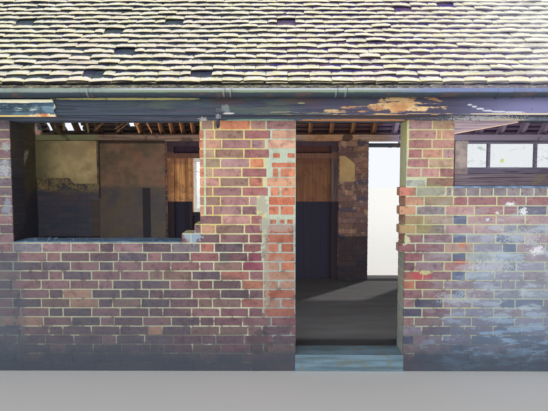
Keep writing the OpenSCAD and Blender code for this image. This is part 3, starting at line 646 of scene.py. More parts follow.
# lichen and painted sunlight on the lower part of each tile, whiter under the painted glare
crust_and_sunlight = coats((255, 255, 248), [
    (step(noise(spot, 24.0, 3.0), 0.42, 0.6), (252, 246, 206)),
    (step(from_tail, 0.022, 0.006), (240, 222, 140), 0.55),
    (step(broad, 0.52, 0.62), (250, 226, 228), 0.3),
    (times(step(x, 1.0, 2.0, 0.0, 0.6), glare_paled), (255, 255, 248)),
])
underside = step(facing("Z"), -0.2, -0.4)
tail = step(from_tail, 0.0016, 0.0002)
colour = coats(clay, [
    (crusted, crust_and_sunlight, 0.94),
    (marks["Pit"], (84, 76, 84), 0.35),
    (underside, (72, 62, 60), 0.8),
])
# painted shade on the tail faces, paled on the right by the painted glare
shaded_tail_tone = coats((44, 36, 34), [
    (seed, (26, 28, 40)),
    (times(step(x, 0.2, 1.6, 0.0, 0.8), glare_paled), (196, 194, 206)),
])
colour = coat(colour, tail, shaded_tail_tone, 0.9)
tile_finish = shows(colour, plus(marks["Crumb"], times(crusted, 0.6)), 0.0022)

# %% Ridge tile: the same clay and crust, without laps
marks = begin("ridge_tile")
spot = place()
crusted = step(noise(spot, 16.0, 6.0, 0.65), 0.47, 0.56)
clay = mix(noise(spot, 1.9, 2.0), (150, 96, 84), (112, 84, 96))
colour = coats(clay, [
    (crusted, (238, 226, 186), 0.85),
    (marks["Pit"], (70, 62, 74), 0.45),
])
ridge_finish = shows(colour, plus(marks["Crumb"], crusted), 0.002)

# %% [markdown]
# ### Timber
# Sawn softwood shows long fibres, with splits that open along them. All timbers share one grain
# effect. The only differences are the direction of the fibres and the colours.


# %% How a timber finish is made
def timber(name, fibres, pale, dark, crack, rough=0.88):
    """A timber finish on the bench: its marks, the colour so far and the relief of the grain."""
    marks = begin(name, rough, 1.6)
    wood = use(grain, Vector=place(), Stretch=fibres)
    colour = coats(dark, [
        (step(wood["Grain"], 0.34, 0.66), pale),
        (wood["Split"], crack, 0.75),
        (step(marks["Blotch"], 0.45, 0.65), dark, 0.35),
    ])
    return marks, colour, minus(wood["Grain"], wood["Split"])


ALONG_X = (1.6, 70.0, 70.0)
ALONG_Z = (70.0, 70.0, 1.6)
DOWN_SLOPE = (70.0, 6.0, 6.0)
print("timber ready for the bench")

# %% Front beam and tapered board
marks, colour, relief = timber("old_beam", ALONG_X, (112, 122, 142), (80, 90, 110), (34, 36, 52))
streak = step(streaks((2.2, 20.0, 60.0), 5.0, 0.6), 0.54, 0.62)
colour = coat(colour, streak, (120, 84, 72), 0.45)
BEAM_MARKS = [
    # middle x, z, reach x, z, colour, how ragged, grain
    # the first row is a painted sunlit edge along the foot of the beam
    (0.11, 2.019, 0.46, 0.011, (232, 164, 110), 0.25, 30.0),
    (-0.63, 2.019, 0.29, 0.010, (170, 214, 184), 0.20, 30.0),
    (-1.075, 2.028, 0.030, 0.018, (232, 232, 232), 1.0, 80.0),
    (0.20, 2.050, 0.60, 0.014, (116, 98, 96), 0.5, 30.0),
    (1.14, 2.034, 0.27, 0.020, (240, 238, 244), 1.5, 110.0),
    (1.30, 2.022, 0.16, 0.010, (244, 232, 200), 0.8, 60.0),
    (1.72, 2.030, 0.30, 0.016, (150, 160, 176), 0.8, 40.0),
]
for x, z, reach_x, reach_z, tone, ragged, grains in BEAM_MARKS:
    mask = stain_at((x, front_face, z), (reach_x, 0.08, reach_z), ragged, grains)
    colour = coat(colour, mask, tone, 0.85)
beam_finish = shows(colour, relief, 0.003)

marks, colour, relief = timber("tapered_board", ALONG_X, (208, 186, 192), (164, 146, 160), (104, 92, 108))
board_low, board_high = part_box("tapered_board")
fall = (board_high.z - board_low.z - 0.016) / (board_high.x - board_low.x)
x, z = parts("XZ")
above_edge = plus(z, times(x, -fall))
edge_z = board_low.z - fall * board_low.x
# painted sunlight along the board's lower edge
colour = coat(colour, step(above_edge, edge_z + 0.01, edge_z + 0.005), (244, 208, 184))
taper_finish = shows(colour, relief, 0.002)

# %% Rafters, plate and battens: sunlight painted where it comes in past the missing tiles, painted shade to the left, painted glare to the right
RAFTER_PITCH = 0.294
DIM_LEFT = (-2.3, -2.5)
GLARE_RIGHT = (0.85, 1.1)
marks, colour, relief = timber("roof_pine", DOWN_SLOPE, (142, 102, 80), (92, 68, 60), (48, 38, 38))
x, y = parts("XY")
lit_cheek = step(facing("X"), -0.3, -0.8)
lit_edge = reckon("FRACT", reckon("DIVIDE", minus(x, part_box("rear_rafters")[0].x), RAFTER_PITCH / 2))
lit_edge = times(step(lit_edge, 0.11, 0.08), step(x, -2.6, -2.4))
lit_edge = times(times(lit_edge, step(y, 0.0, 0.1)), step(x, -0.6, -1.2, 0.35, 0.85))
colour = coats(colour, [
    # painted shade to the left, painted sunlight on the rafter edges and on one cheek, painted glare to the
    # right
    (step(x, *DIM_LEFT), (66, 62, 56), 0.65),
    (lit_edge, (250, 170, 104)),
    (lit_cheek, (196, 138, 96), 0.45),
    (step(x, *GLARE_RIGHT), (190, 176, 212), 0.8),
])
roof_finish = shows(colour, relief, 0.002)

marks, colour, relief = timber("long_pine", ALONG_X, (180, 150, 128), (126, 106, 98), (60, 50, 52))
x = part(place(), "X")
warm = times(step(x, -0.15, -0.05), step(x, 0.62, 0.55))
dark_knot = stain_at((0.47, 1.41, 2.06), (0.09, 0.2, 0.05), 0.3)
colour = coats(colour, [
    (step(x, -2.88, -2.98), (140, 150, 108), 0.72),
    # painted glare to the right
    (step(x, 0.9, 1.3), (186, 178, 208), 0.8),
    (step(marks["Blotch"], 0.56, 0.62), (64, 54, 54), 0.6),
    (warm, (186, 130, 84), 0.45),
    (dark_knot, (44, 38, 42), 0.8),
])
long_finish = shows(colour, relief, 0.002)

marks, colour, relief = timber("batten", ALONG_X, (118, 84, 70), (68, 52, 50), (40, 32, 36))
x = part(place(), "X")
colour = coats(colour, [
    # painted glare to the right, painted shade to the left
    (step(x, *GLARE_RIGHT), (150, 134, 170), 0.7),
    (step(x, *DIM_LEFT), (66, 62, 56), 0.6),
])
batten_finish = shows(colour, relief, 0.0015)

# %% Posts and boards of the bay: bare above, painted sunlight on the posts, tarred below, grey where it rains
marks, colour, relief = timber("bay_post", ALONG_Z, (118, 100, 96), (78, 66, 72), (36, 32, 40))
x, z = parts("XZ")
sunlit_patch = times(between(z, 1.185, 1.785), step(x, -1.6, -1.64))
# painted sunlight where the low light reaches, brown and black above it, tarred below
colour = coats(colour, [
    (sunlit_patch, mix(step(marks["Blotch"], 0.42, 0.58), (222, 164, 106), (160, 112, 78)), 0.8),
    (between(z, 1.78, 1.856), (124, 84, 64), 0.6),
    (step(z, 1.86, 1.88), (66, 52, 64), 0.75),
    (step(z, 1.2, 1.17), (36, 32, 42), 0.88),
])
bay_finish = shows(colour, relief, 0.002)

BOARD_COUNT = 20
bay_low, bay_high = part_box("rear_boarding")
BOARD_WIDTH = (bay_high.x - bay_low.x) / BOARD_COUNT
marks, colour, relief = timber("bay_board", ALONG_Z, (236, 180, 118), (172, 122, 82), (80, 56, 46))
x, y, z = parts("XYZ")
number = reckon("FLOOR", reckon("DIVIDE", minus(x, bay_low.x), BOARD_WIDTH))
chance = add("TexWhiteNoise", {"W": number}, noise_dimensions="1D").outputs["Value"]
patchy = times(step(marks["Blotch"], 0.5, 0.62), 0.5)
rained_on = step(y, 1.596, 1.604)
# each board its own shade, brown under the rail, black above, painted shade behind the pier, tarred foot
colour = coats(colour, [
    (chance, (150, 104, 78), 0.45),
    (patchy, (116, 82, 66)),
    (between(z, 1.7, 1.81, 0.02), (128, 82, 76), 0.5),
    (step(z, 1.8, 1.815), (62, 46, 60)),
    (step(x, -0.5, -0.4), (88, 58, 50), 0.82),
    (step(z, 1.185, 1.175), (44, 42, 56)),
])
grey_wood = coats((146, 136, 122), [
    (chance, (112, 102, 96), 0.8),
    (step(z, 0.4, 0.05), (78, 84, 70), 0.6),
])
colour = coat(colour, rained_on, grey_wood, 0.8)
board_finish = shows(colour, relief, 0.002)

# %% Wood of the strip window
marks, colour, relief = timber("strip_frame", ALONG_X, (176, 172, 196), (122, 118, 146), (64, 58, 80))
x, z = parts("XZ")
post = step(x, 2.12, 2.09)
colour = coats(colour, [
    (post, mix(step(marks["Blotch"], 0.4, 0.6), (240, 224, 212), (196, 178, 176)), 0.75),
    (step(z, 1.65, 1.63), (96, 84, 104), 0.4),
])
strip_finish = shows(colour, relief, 0.0015)

marks, colour, relief = timber("strip_lining", ALONG_X, (168, 156, 168), (116, 102, 122), (62, 54, 72))
colour = coat(colour, step(marks["Blotch"], 0.54, 0.64), (168, 156, 136), 0.6)
lining_finish = shows(colour, relief, 0.0015)

# %% Laths that hang loose under the rear slope
marks, colour, relief = timber("loose_lath", ALONG_Z, (150, 116, 88), (106, 82, 66), (66, 50, 44))
x = part(place(), "X")
colour = coats(colour, [
    # painted sunlight on the laths at the right
    (step(x, -2.36, -2.35), (232, 156, 100), 0.8),
    (step(x, -2.94, -2.95), (136, 128, 76), 0.6),
])
lath_finish = shows(colour, relief, 0.0015)

# %% [markdown]
# ### The fascia
# Its black paint has dried out and peeled. Each scar is the shared stain, put where it belongs,
# and cut by noise that is drawn out along the grain, because paint curls off in long flakes.

# %% Fascia: black paint, dried out, with the wood bare where it peeled
FASCIA_FRONT = front_face - 0.145


def scar(colour, x, z, reach_x, reach_z, tone, ragged=0.35, strong=0.9, cut=None, grains=18.0):
    """A mark on the fascia; cut limits it to where the paint has peeled."""
    mask = stain_at((x, FASCIA_FRONT, z), (reach_x, SKIN_DEEP, reach_z), ragged, grains)
    return coat(colour, times(mask, cut) if cut is not None else mask, tone, strong)


marks, colour, relief = timber("black_fascia", ALONG_X, (62, 76, 92), (42, 53, 70), (26, 31, 44), rough=0.7)
x = part(place(), "X")
tints = streaks((2.6, 9.0, 15.0), 4.0, 0.6)
middle_part = times(step(x, -1.9, -1.3), step(x, 0.4, 0.0))
peel = step(streaks((3.0, 20.0, 30.0), 5.0, 0.6), 0.47, 0.51)
thin = step(streaks((5.0, 20.0, 60.0), 4.0, 0.6), 0.5, 0.55)
colour = coats(colour, [
    (step(x, -1.0, 0.3), (84, 74, 104), 0.55),
    # painted glare to the right
    (step(x, 0.7, 1.5), (146, 146, 196), 0.75),
    (times(step(tints, 0.5, 0.6), middle_part), (92, 104, 84), 0.45),
    (times(step(tints, 0.46, 0.38), middle_part), (96, 72, 96), 0.4),
])
print("black paint with", len(at_work["tree"].nodes), "nodes")

# %% Scars and lime runs on the fascia
bare = mix(step(marks["Blotch"], 0.42, 0.6), (240, 204, 150), (206, 150, 100))
# x, z and half the width of each
LIME_DROPS = ((0.965, 2.122, 0.020), (1.000, 2.108, 0.024), (1.045, 2.092, 0.032),
              (1.105, 2.078, 0.040), (1.190, 2.070, 0.060), (1.300, 2.066, 0.080))
SCARS = [
    # x, z, reach x and z, tone, how ragged, how strong, where the paint has peeled, grain
    (0.52, 2.125, 0.27, 0.055, bare, 0.5, 0.95, peel),
    (0.15, 2.085, 0.30, 0.030, bare, 0.5, 0.8, thin),
    (0.40, 2.052, 0.55, 0.008, (222, 184, 132), 0.3, 0.8, thin),
    *[(x, z, wide, 0.007, (226, 226, 240), 0.35, 0.8, None, 60.0) for x, z, wide in LIME_DROPS],
    (1.45, 2.053, 0.55, 0.006, (236, 220, 184), 0.2),
    # a painted sunlit line along the top of the fascia
    (-1.63, 2.167, 0.56, 0.008, (222, 214, 140), 0.22),
    (-0.88, 2.150, 0.13, 0.040, (80, 58, 60), 0.8, 0.65, None, 26.0),
    (-0.30, 2.150, 0.16, 0.022, (92, 66, 62), 0.9, 0.55, None, 26.0),
    (-0.895, 2.094, 0.034, 0.026, (150, 160, 160), 1.3, 0.5),
    (-0.86, 2.058, 0.045, 0.006, (224, 216, 216), 0.2),
    (-0.31, 2.135, 0.030, 0.005, (176, 180, 130), 0.2, 0.8),
    (-0.42, 2.060, 0.38, 0.012, (150, 148, 120), 0.5, 0.55, thin),
]
for row in SCARS:
    colour = scar(colour, *row)
fascia_finish = shows(colour, relief, 0.002)

# %% Repair board: blue-grey, split at its torn end
marks, colour, relief = timber("patch_board", ALONG_X, (116, 146, 162), (62, 84, 108), (26, 32, 46))
patch_low, patch_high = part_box("fascia_patch")
x, z = parts("XZ")
chips = step(streaks((11.0, 30.0, 70.0), 5.0, 0.65), 0.6, 0.64)
lip = plus(z, times(marks["Blotch"], 0.022))
torn_end = step(plus(x, times(marks["Blotch"], 0.03)), patch_high.x, patch_high.x + 0.006)
corner = stain_at((patch_high.x - 0.09, patch_low.y, patch_low.z), (0.13, SKIN_DEEP, 0.024), 0.5, 30.0)
colour = coats(colour, [
    (step(marks["Blotch"], 0.48, 0.6), (40, 50, 62), 0.6),
    (chips, (196, 214, 206), 0.75),
    (step(lip, patch_high.z - 0.014, patch_high.z - 0.008), (255, 252, 222)),
    (step(z, patch_low.z + 0.014, patch_low.z + 0.008), (236, 206, 128), 0.9),
    (torn_end, (240, 240, 226), 0.9),
    (corner, mix(step(marks["Blotch"], 0.45, 0.55), (246, 222, 176), (206, 130, 80)), 0.9),
])
patch_finish = shows(colour, relief, 0.002)

# %% [markdown]
# ### Paint, glass, plaster, concrete and iron
# These finishes share the same blotches and crumbs, and differ in what age has done to them:
# paint flakes, glass streaks, plaster yellows, concrete wears pale and iron rusts. The glass
# takes its roughness from the dirt, and keeps plain numbers for what light passes through it.

# %% White paint and dirty glass
marks = begin("white_paint", 0.55, 0.7)
edge_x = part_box("rear_window_frame")[0].x
sunlit_edge = step(part(place(), "X"), edge_x + 0.02, edge_x + 0.014)
colour = coats((238, 238, 232), [
    (step(marks["Blotch"], 0.5, 0.66), (176, 168, 150), 0.6),
    (step(marks["Blotch"], 0.63, 0.68), (150, 108, 74), 0.9),
    # painted sunlight on the frame's left edge
    (sunlit_edge, (232, 150, 84), 0.85),
])
white_finish = shows(colour, marks["Crumb"], 0.0006)

marks = begin("dirty_glass", 0.08, 1.2)
dirt = step(streaks((3.0, 3.0, 5.0), 6.0, 0.6, 1.5), 0.56, 0.74)
sap = stain_at((2.58, 1.42, 1.748), (0.03, 0.2, 0.03), 0.4)
grimed = mix(dirt, (254, 255, 254), (196, 208, 198))
glass_finish = shows(coat(grimed, sap, (222, 226, 120), 0.8), rough=step(dirt, 0.0, 1.0, 0.05, 0.35),
                     Transmission_Weight=0.95, IOR=1.45)

# %% Plaster and wall sheet
marks = begin("old_plaster", 0.95, 1.4)
spot = place()
x, z = parts("XZ", spot)
shaded_corner = step(x, -3.3, -3.75)
reddish = times(step(x, -3.25, -2.98), step(marks["Blotch"], 0.35, 0.55))
on_pier = step(x, 0.0, 0.1)
colour = coats((214, 194, 144), [
    (step(noise(spot, 2.4, 4.0), 0.38, 0.62), (180, 160, 122)),
    (step(marks["Blotch"], 0.52, 0.68), (118, 104, 78), 0.3),
    # painted shade in the corner by the left gable
    (shaded_corner, (80, 84, 68), 0.8),
    (reddish, (160, 122, 92), 0.4),
    (on_pier, (156, 122, 80), 0.55),
    (step(z, 1.6, 1.44), (96, 88, 72), 0.35),
])
plaster_finish = shows(colour, marks["Blotch"], 0.003)

marks = begin("wall_sheet", 0.8, 1.3)
spot = place()
x, z = parts("XZ", spot)
colour = coats((134, 106, 90), [
    (step(noise(spot, 4.0, 6.0, 0.65), 0.4, 0.62), (104, 90, 76)),
    (step(marks["Blotch"], 0.5, 0.66), (134, 88, 66), 0.4),
])
dull = mix(step(noise(spot, 3.0, 6.0, 0.7), 0.42, 0.58), (88, 84, 76), (72, 74, 84))
shadow = times(between(x, -2.325, -2.215), step(z, 1.385, 1.375))
dark_edge = times(step(x, -2.892, -2.898), step(z, 1.22, 1.25))
top_line = step(z, 1.975, 1.985)
colour = coats(colour, [
    (step(z, 1.44, 1.36), dull, 0.8),
    (shadow, (36, 38, 48), 0.85),
    (dark_edge, (40, 36, 36), 0.8),
    (top_line, (44, 38, 40), 0.8),
])
sheet_finish = shows(colour, marks["Crumb"], 0.001)

# %% Concrete and sill mortar
marks = begin("old_concrete", 0.95)
spot = place()
trails = noise(stretch(spot, (2.0, 9.0, 26.0)), 1.0, 5.0, 0.6)
shaded_room_side = step(part(spot, "Y"), front_inner - 0.02, front_inner + 0.05)
colour = coats((122, 150, 168), [
    (step(trails, 0.38, 0.62), (96, 118, 130)),
    (step(marks["Blotch"], 0.5, 0.66), (122, 126, 108), 0.5),
    (step(marks["Crumb"], 0.6, 0.74), (186, 192, 186), 0.35),
    # painted shade on the concrete inside the room
    (shaded_room_side, (66, 57, 55), 0.85),
    (marks["Pit"], (84, 84, 80), 0.5),
])
concrete_finish = shows(colour, plus(marks["Crumb"], marks["Blotch"]), 0.003)

marks = begin("sill_mortar", 0.95, 0.9)
left_sill = step(part(place(), "X"), 0.0, -0.5)
colour = coats((140, 170, 204), [
    (step(marks["Blotch"], 0.4, 0.6), (96, 118, 146)),
    (left_sill, (62, 96, 126), 0.6),
    (step(marks["Crumb"], 0.58, 0.66), (198, 220, 234), 0.7),
    (marks["Pit"], (64, 72, 84), 0.5),
])
capping_finish = shows(colour, plus(marks["Crumb"], marks["Blotch"]), 0.004)

# %% Gutter iron and hook
marks = begin("gutter_iron", 0.62, 1.2)
spot = place()
x, z = parts("XZ", spot)
gutter_low, gutter_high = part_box("front_gutter")
rust = step(marks["Blotch"], 0.5, 0.62)
under = coat((58, 70, 82), rust, (102, 80, 78), 0.7)
rim_highlight = step(z, gutter_high.z - 0.016, gutter_high.z - 0.01)
centre = times(step(x, -1.9, -1.4), step(x, 0.7, 0.1))
# the upper band is paler, partly from dust and partly painted light from the sky; the lower part keeps the
# dark paint
upper = step(plus(z, times(marks["Blotch"], -0.012)), gutter_high.z - 0.04, gutter_high.z - 0.028)
dusty_lit_rim = coats((142, 160, 152), [
    # painted glare to the right, and in the centre a painted highlight along the top of the rim
    (step(x, -0.6, 0.9), (126, 140, 186)),
    (rust, (120, 118, 118), 0.4),
    (times(rim_highlight, centre), (190, 196, 210)),
    (times(minus(1.0, rim_highlight), centre), (140, 158, 124), 0.8),
])
colour = mix(upper, under, dusty_lit_rim)
for joint_x in (-1.895, -0.888, -0.838, -0.06, 0.01):
    putty = between(x, joint_x - 0.006, joint_x + 0.006, 0.003)
    crack = between(x, joint_x + 0.009, joint_x + 0.017, 0.003)
    colour = coats(colour, [
        (putty, (160, 172, 176), 0.45),
        (crack, (42, 46, 58), 0.6),
    ])
iron_finish = shows(colour, marks["Crumb"], 0.0012)

marks = begin("rusty_hook", 0.8, 0.3)
# a painted highlight on the eye of the hook
eye = stain_at((-0.9375, front_face - 0.17, 2.032), (0.05, 0.12, 0.016), 0.5)
colour = coats((66, 58, 66), [
    (step(marks["Blotch"], 0.42, 0.6), (40, 44, 62)),
    (step(part(place(), "Z"), 2.05, 2.075), (84, 92, 100)),
    (eye, (190, 194, 204), 0.45),
])
hook_finish = shows(colour, marks["Crumb"], 0.0008)

# %% Leaf mould in the gutter, mortar bedding, crumbs and nails
marks = begin("leaf_mould", 0.95, 0.6)
spot = place()
x = part(spot, "X")
flecks = step(noise(stretch(spot, (26.0, 60.0, 90.0)), 1.0, 4.0, 0.7), 0.52, 0.6)
colour = coats((132, 128, 100), [
    (step(marks["Blotch"], 0.42, 0.6), (84, 82, 80)),
    # painted glare to the right
    (step(x, 0.2, 1.0), (150, 140, 164), 0.7),
    (flecks, (214, 206, 190), 0.75),
])
mould_finish = shows(colour, plus(marks["Crumb"], marks["Blotch"]), 0.004)

marks = begin("bedding", 0.97, 0.8)
colour = coats((204, 208, 204), [
    (step(marks["Blotch"], 0.4, 0.6), (146, 152, 156)),
    (step(marks["Crumb"], 0.56, 0.7), (226, 222, 206), 0.5),
    (marks["Pit"], (96, 92, 84), 0.5),
])
bedding_finish = shows(colour, plus(marks["Crumb"], marks["Blotch"]), 0.004)

marks = begin("rusty_nail", 0.8, 0.2)
colour = mix(step(marks["Blotch"], 0.42, 0.6), (96, 66, 54), (62, 56, 60))
nail_finish = shows(colour, marks["Crumb"], 0.0005)

# %% [markdown]
# ## Many small solids in one mesh
# A wall holds thousands of bricks. Each stays a closed solid of its own, but all bricks of one
# wall are gathered in a single mesh, with a tone that each point carries along.


# %% A heap of small solids
class Heap:
    def __init__(self):
        self.points, self.faces, self.values = [], [], []
        self.solids = 0

    def drop(self, points, faces, values):
        """Adds one closed solid, with one row of values for each of its points."""
        start = len(self.points)
        self.points.extend(points)
        self.faces.extend([tuple(start + i for i in face) for face in faces])
        self.values.extend(values)
        self.solids += 1

    def solid(self, rings, row=(0.0, 0.0, 0.0)):
        """Adds the solid drawn through rings of points, with the same values all over it."""
        points, faces = prism(rings)
        self.drop(points, faces, [row] * len(points))

    def piece(self, name, finish, slot, value_name, smooth=None):
        """Turns the heap into an object that rides on the building."""
        mesh = bpy.data.meshes.new(name)
        mesh.from_pydata(self.points, [], self.faces)
        kind = "FLOAT_COLOR" if len(self.values[0]) == 4 else "FLOAT_VECTOR"
        carried = mesh.attributes.new(value_name, kind, "POINT")
        carried.data.foreach_set(
            "color" if kind == "FLOAT_COLOR" else "vector", np.array(self.values, "f").ravel())
        mesh.materials.append(finish)
        if smooth is not None:
            mesh.shade_smooth()
            mesh.set_sharp_from_angle(angle=math.radians(smooth))
        thing = bpy.data.objects.new(name, mesh)
        scene.collection.objects.link(thing)
        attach(thing, "root")
        triangles = sum(len(face) - 2 for face in self.faces)
        print(name, self.solids, "solids,", triangles, "triangles")
        return thing


def prism(rings):
    """Faces of a solid built of rings of points, the first cap facing the viewer."""
    count = len(rings[0])
    points = [point for ring in rings for point in ring]
    faces = [tuple(range(count))]
    for r in range(len(rings) - 1):
        for i in range(count):
            j = (i + 1) % count
            faces.append((r * count + i, (r + 1) * count + i, (r + 1) * count + j, r * count + j))
    faces.append(tuple(reversed(range(len(points) - count, len(points)))))
    return points, faces


# %% [markdown]
# ## Where each wall has brick
# The courses are 75 mm high. A ray sent along the wall just above the bed of each course finds where
# the CAD wall begins and ends, so openings, broken stubs and teeth come out by themselves. At a
# corner one wall runs through on odd courses and the other on even ones.

# %% Sizes of the brickwork, and what a wall knows of itself
COURSE = 0.075
BRICK = (0.222, 0.104, 0.066)
JOINT = 0.009
LEAF = 0.223
left_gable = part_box("left_gable_wall")
right_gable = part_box("right_gable_wall")
rear_face = left_gable[1].y
BEYOND_THE_WALL = -9.0


class Wall:
    """A wall whose places are told by u along it, d into it and z above the ground."""

    def __init__(self, name, node_names, along, inwards, face, phase, ends, through_on):
        self.name, self.along, self.inwards = name, Vector(along), Vector(inwards)
        self.face, self.phase, self.ends, self.through_on = face, phase, ends, through_on
        self.trees = [BVHTree.FromPolygons(
            [v.co.copy() for v in nodes[node_name].data.vertices],
            [tuple(p.vertices) for p in nodes[node_name].data.polygons]) for node_name in node_names]

    def point(self, u, d, z):
        return self.along * u + self.inwards * (d + self.face) + Vector((0, 0, z))

    def stretches(self, z, depth=0.05):
        """Where the wall is solid at this height and depth, from end to end."""
        found = []
        for tree in self.trees:
            reached, hits = BEYOND_THE_WALL, []
            while True:
                hit = tree.ray_cast(self.point(reached, depth, z), self.along)[0]
                if hit is None:
                    break
                reached = self.along.dot(hit) + 0.0005
                hits.append(reached - 0.0005)
            hits = [u for i, u in enumerate(hits) if i == 0 or u - hits[i - 1] > 0.001]
            found += zip(hits[0::2], hits[1::2])
        joined = []
        for start, end in sorted(found):
            if joined and start - joined[-1][1] < 0.002:
                joined[-1][1] = max(end, joined[-1][1])
            else:
                joined.append([start, end])
        return joined

    def top(self, u, z):
        """Height of the wall's top above the point u, at most z."""
        for tree in self.trees:
            hit = tree.ray_cast(self.point(u, 0.05, z), Vector((0, 0, -1)))[0]
            if hit is not None and hit.z > z - 0.09:
                return min(z, hit.z) if tree.ray_cast(
                    self.point(u, 0.05, z), Vector((0, 0, 1)))[0] is None else z
        return z


print("courses of", COURSE * 1000, "mm, walls", LEAF * 1000, "mm thick")

# %% The four walls
half_length = right_gable[1].x
# Each wall: its nodes, its directions along and inwards, where its face is, a header of the odd
# and of the even courses, its two ends, and whether its odd or even courses run to the corner.
WALLS = {
    "front": Wall("front", [
        "front_wall_left", "front_apron_left", "centre_pier", "door_pier", "front_apron_right",
        "front_wall_right"], (1, 0, 0), (0, 1, 0), front_face, (-1.861, -1.455),
        (-half_length, half_length), 1),
    "rear": Wall("rear", [
        "rear_wall_left", "rear_pier", "rear_wall_mid", "rear_apron_right"],
        (-1, 0, 0), (0, -1, 0), -rear_face, (0.31, 0.72), (-half_length, half_length), 1),
    "left_gable": Wall("left_gable", ["left_gable_wall"], (0, -1, 0), (1, 0, 0),
                       left_gable[0].x, (0.12, 0.53), (-rear_face, -front_face), 0),
    "right_gable": Wall("right_gable", ["right_gable_wall"], (0, 1, 0), (-1, 0, 0),
                        -right_gable[1].x, (-0.21, 0.20), (front_face, rear_face), 0),
}
for wall in WALLS.values():
    print(wall.name, "at 0.4 m high:", [[round(u, 3) for u in pair] for pair in wall.stretches(0.4)])

# %% [markdown]
# ## The bond
# The front shows a Sussex bond: three stretchers and a header in each course, the headers of
# one course halfway between those of the next. A stretcher lies in the outer or the inner leaf,
# and a header ties both, so each header is one brick right through the wall.


# %% Bricks of one course
PERIOD = 3 * BRICK[0] + BRICK[1] + 4 * JOINT
SHORTEST = 0.036
# how far the header of each course lies off its place on the left side, in metres
NUDGED = {25: 0.014, 24: 0.008, 23: 0.013, 22: -0.003, 21: -0.003, 20: -0.010, 19: -0.004, 18: -0.006,
          17: -0.005, 16: 0.004, 15: 0.015, 14: -0.012, 13: 0.005, 12: -0.021, 11: -0.001, 10: -0.009,
          9: -0.010, 8: -0.010, 7: -0.014, 6: -0.015, 5: -0.003, 4: -0.021, 3: 0.010, 2: -0.010}


def bond(wall, course, start, end):
    """The bricks between start and end, as [from, to, is it a header]."""
    header = wall.phase[0] if course % 2 else wall.phase[1]
    if wall.name == "front" and end < 0:
        header += NUDGED.get(course, 0.0)
    first = math.floor((start - header) / PERIOD) - 1
    laid = []
    for n in range(first, first + int((end - start) / PERIOD) + 4):
        middle = header + n * PERIOD
        laid.append([middle - BRICK[1] / 2, middle + BRICK[1] / 2, True])
        for i in range(3):
            low = middle + BRICK[1] / 2 + JOINT + i * (BRICK[0] + JOINT)
            laid.append([low, low + BRICK[0], False])
    laid = [[max(a, start), min(b, end), tie] for a, b, tie in laid if b > start and a < end]
    if len(laid) > 1 and laid[0][1] - laid[0][0] < SHORTEST:
        laid[1][0] = laid[0][0]
        laid.pop(0)
    if len(laid) > 1 and laid[-1][1] - laid[-1][0] < SHORTEST:
        laid[-2][1] = laid[-1][1]
        laid.pop()
    return laid


print("the bond repeats every", round(PERIOD, 3), "m")

# %% Rows that were noted brick by brick
# Each course of the repair: where its own bricks take over, in metres along the front, and the
# bricks as pairs. A third number is the height of a thin piece.
PIER_EDGE = -1.062
REPAIR_EDGE = -0.592
REPAIR_END = -0.346
SILL_ROW = 19
SILL_SPAN = (0.90, 2.42)
THIN = 0.036
REPAIR_ROWS = {
    26: (-1.12, [(-1.084, -1.000), (-0.990, -0.950), (-0.941, -0.707), (-0.697, -0.583),
                 (-0.574, -0.347)]),
    25: (-0.541, [(-0.530, -0.348)]),
    24: (-0.58, [(-0.565, -0.348)]),
    23: (-0.552, [(-0.524, -0.470, THIN), (-0.455, -0.425, THIN), (-0.410, -0.352, THIN)]),
    22: (-0.58, [(-0.533, -0.349, THIN)]),
    21: (-0.572, [(-0.526, -0.484), (-0.465, -0.351)]),
    20: (-0.58, [(-0.573, -0.351)]),
    19: (-0.560, [(-0.543, -0.475), (-0.458, -0.351)]),
    18: (-0.650, [(-0.557, -0.351)]),
    17: (-0.650, [(-0.557, -0.480), (-0.464, -0.362)]),
    16: (-0.608, [(-0.552, -0.500, THIN), (-0.470, -0.432, THIN), (-0.412, -0.366, THIN)]),
    15: (-0.608, [(-0.571, -0.362)]),
    14: (-0.608, [(-0.583, -0.362)]),
    13: (-0.616, [(-0.588, -0.480), (-0.458, -0.362)]),
    12: (-0.60, [(-0.595, -0.351)]),
    11: (-0.60, [(-0.595, -0.475), (-0.460, -0.351)]),
    10: (-0.60, [(-0.595, -0.351)]),
    9: (-0.60, [(-0.595, -0.484), (-0.468, -0.351)]),
    8: (-0.60, [(-0.595, -0.351)]),
    7: (-0.60, [(-0.595, -0.470), (-0.455, -0.351)]),
    6: (-0.60, [(-0.595, -0.351)]),
}
DOOR_ROWS = {
    26: [(0.546, 0.724), (0.733, 0.903)], 25: [(0.546, 0.757), (0.766, 0.799), (0.808, 0.903)],
    24: [(0.546, 0.724), (0.733, 0.903)], 23: [(0.546, 0.649), (0.658, 0.810), (0.819, 0.903)],
    22: [(0.540, 0.700), (0.709, 0.903)], 21: [(0.534, 0.641), (0.650, 0.788), (0.797, 0.903)],
    20: [(0.534, 0.682, 0.050), (0.692, 0.903)],
}
HAND_LAID = {course: [(low, REPAIR_END, bricks)] for course, (low, bricks) in REPAIR_ROWS.items()}
for course, bricks in DOOR_ROWS.items():
    HAND_LAID.setdefault(course, []).append((0.50, 0.92, bricks))
for course in range(17, 26):
    HAND_LAID[course].append((-1.13, PIER_EDGE, [(-1.106, -1.072)]))
HEADERS = [(0.905 + n * 0.1069, 0.905 + n * 0.1069 + 0.0985) for n in range(14)]
HAND_LAID[SILL_ROW].append((0.896, 2.41, HEADERS))

print("noted rows:", len(HAND_LAID), "courses")


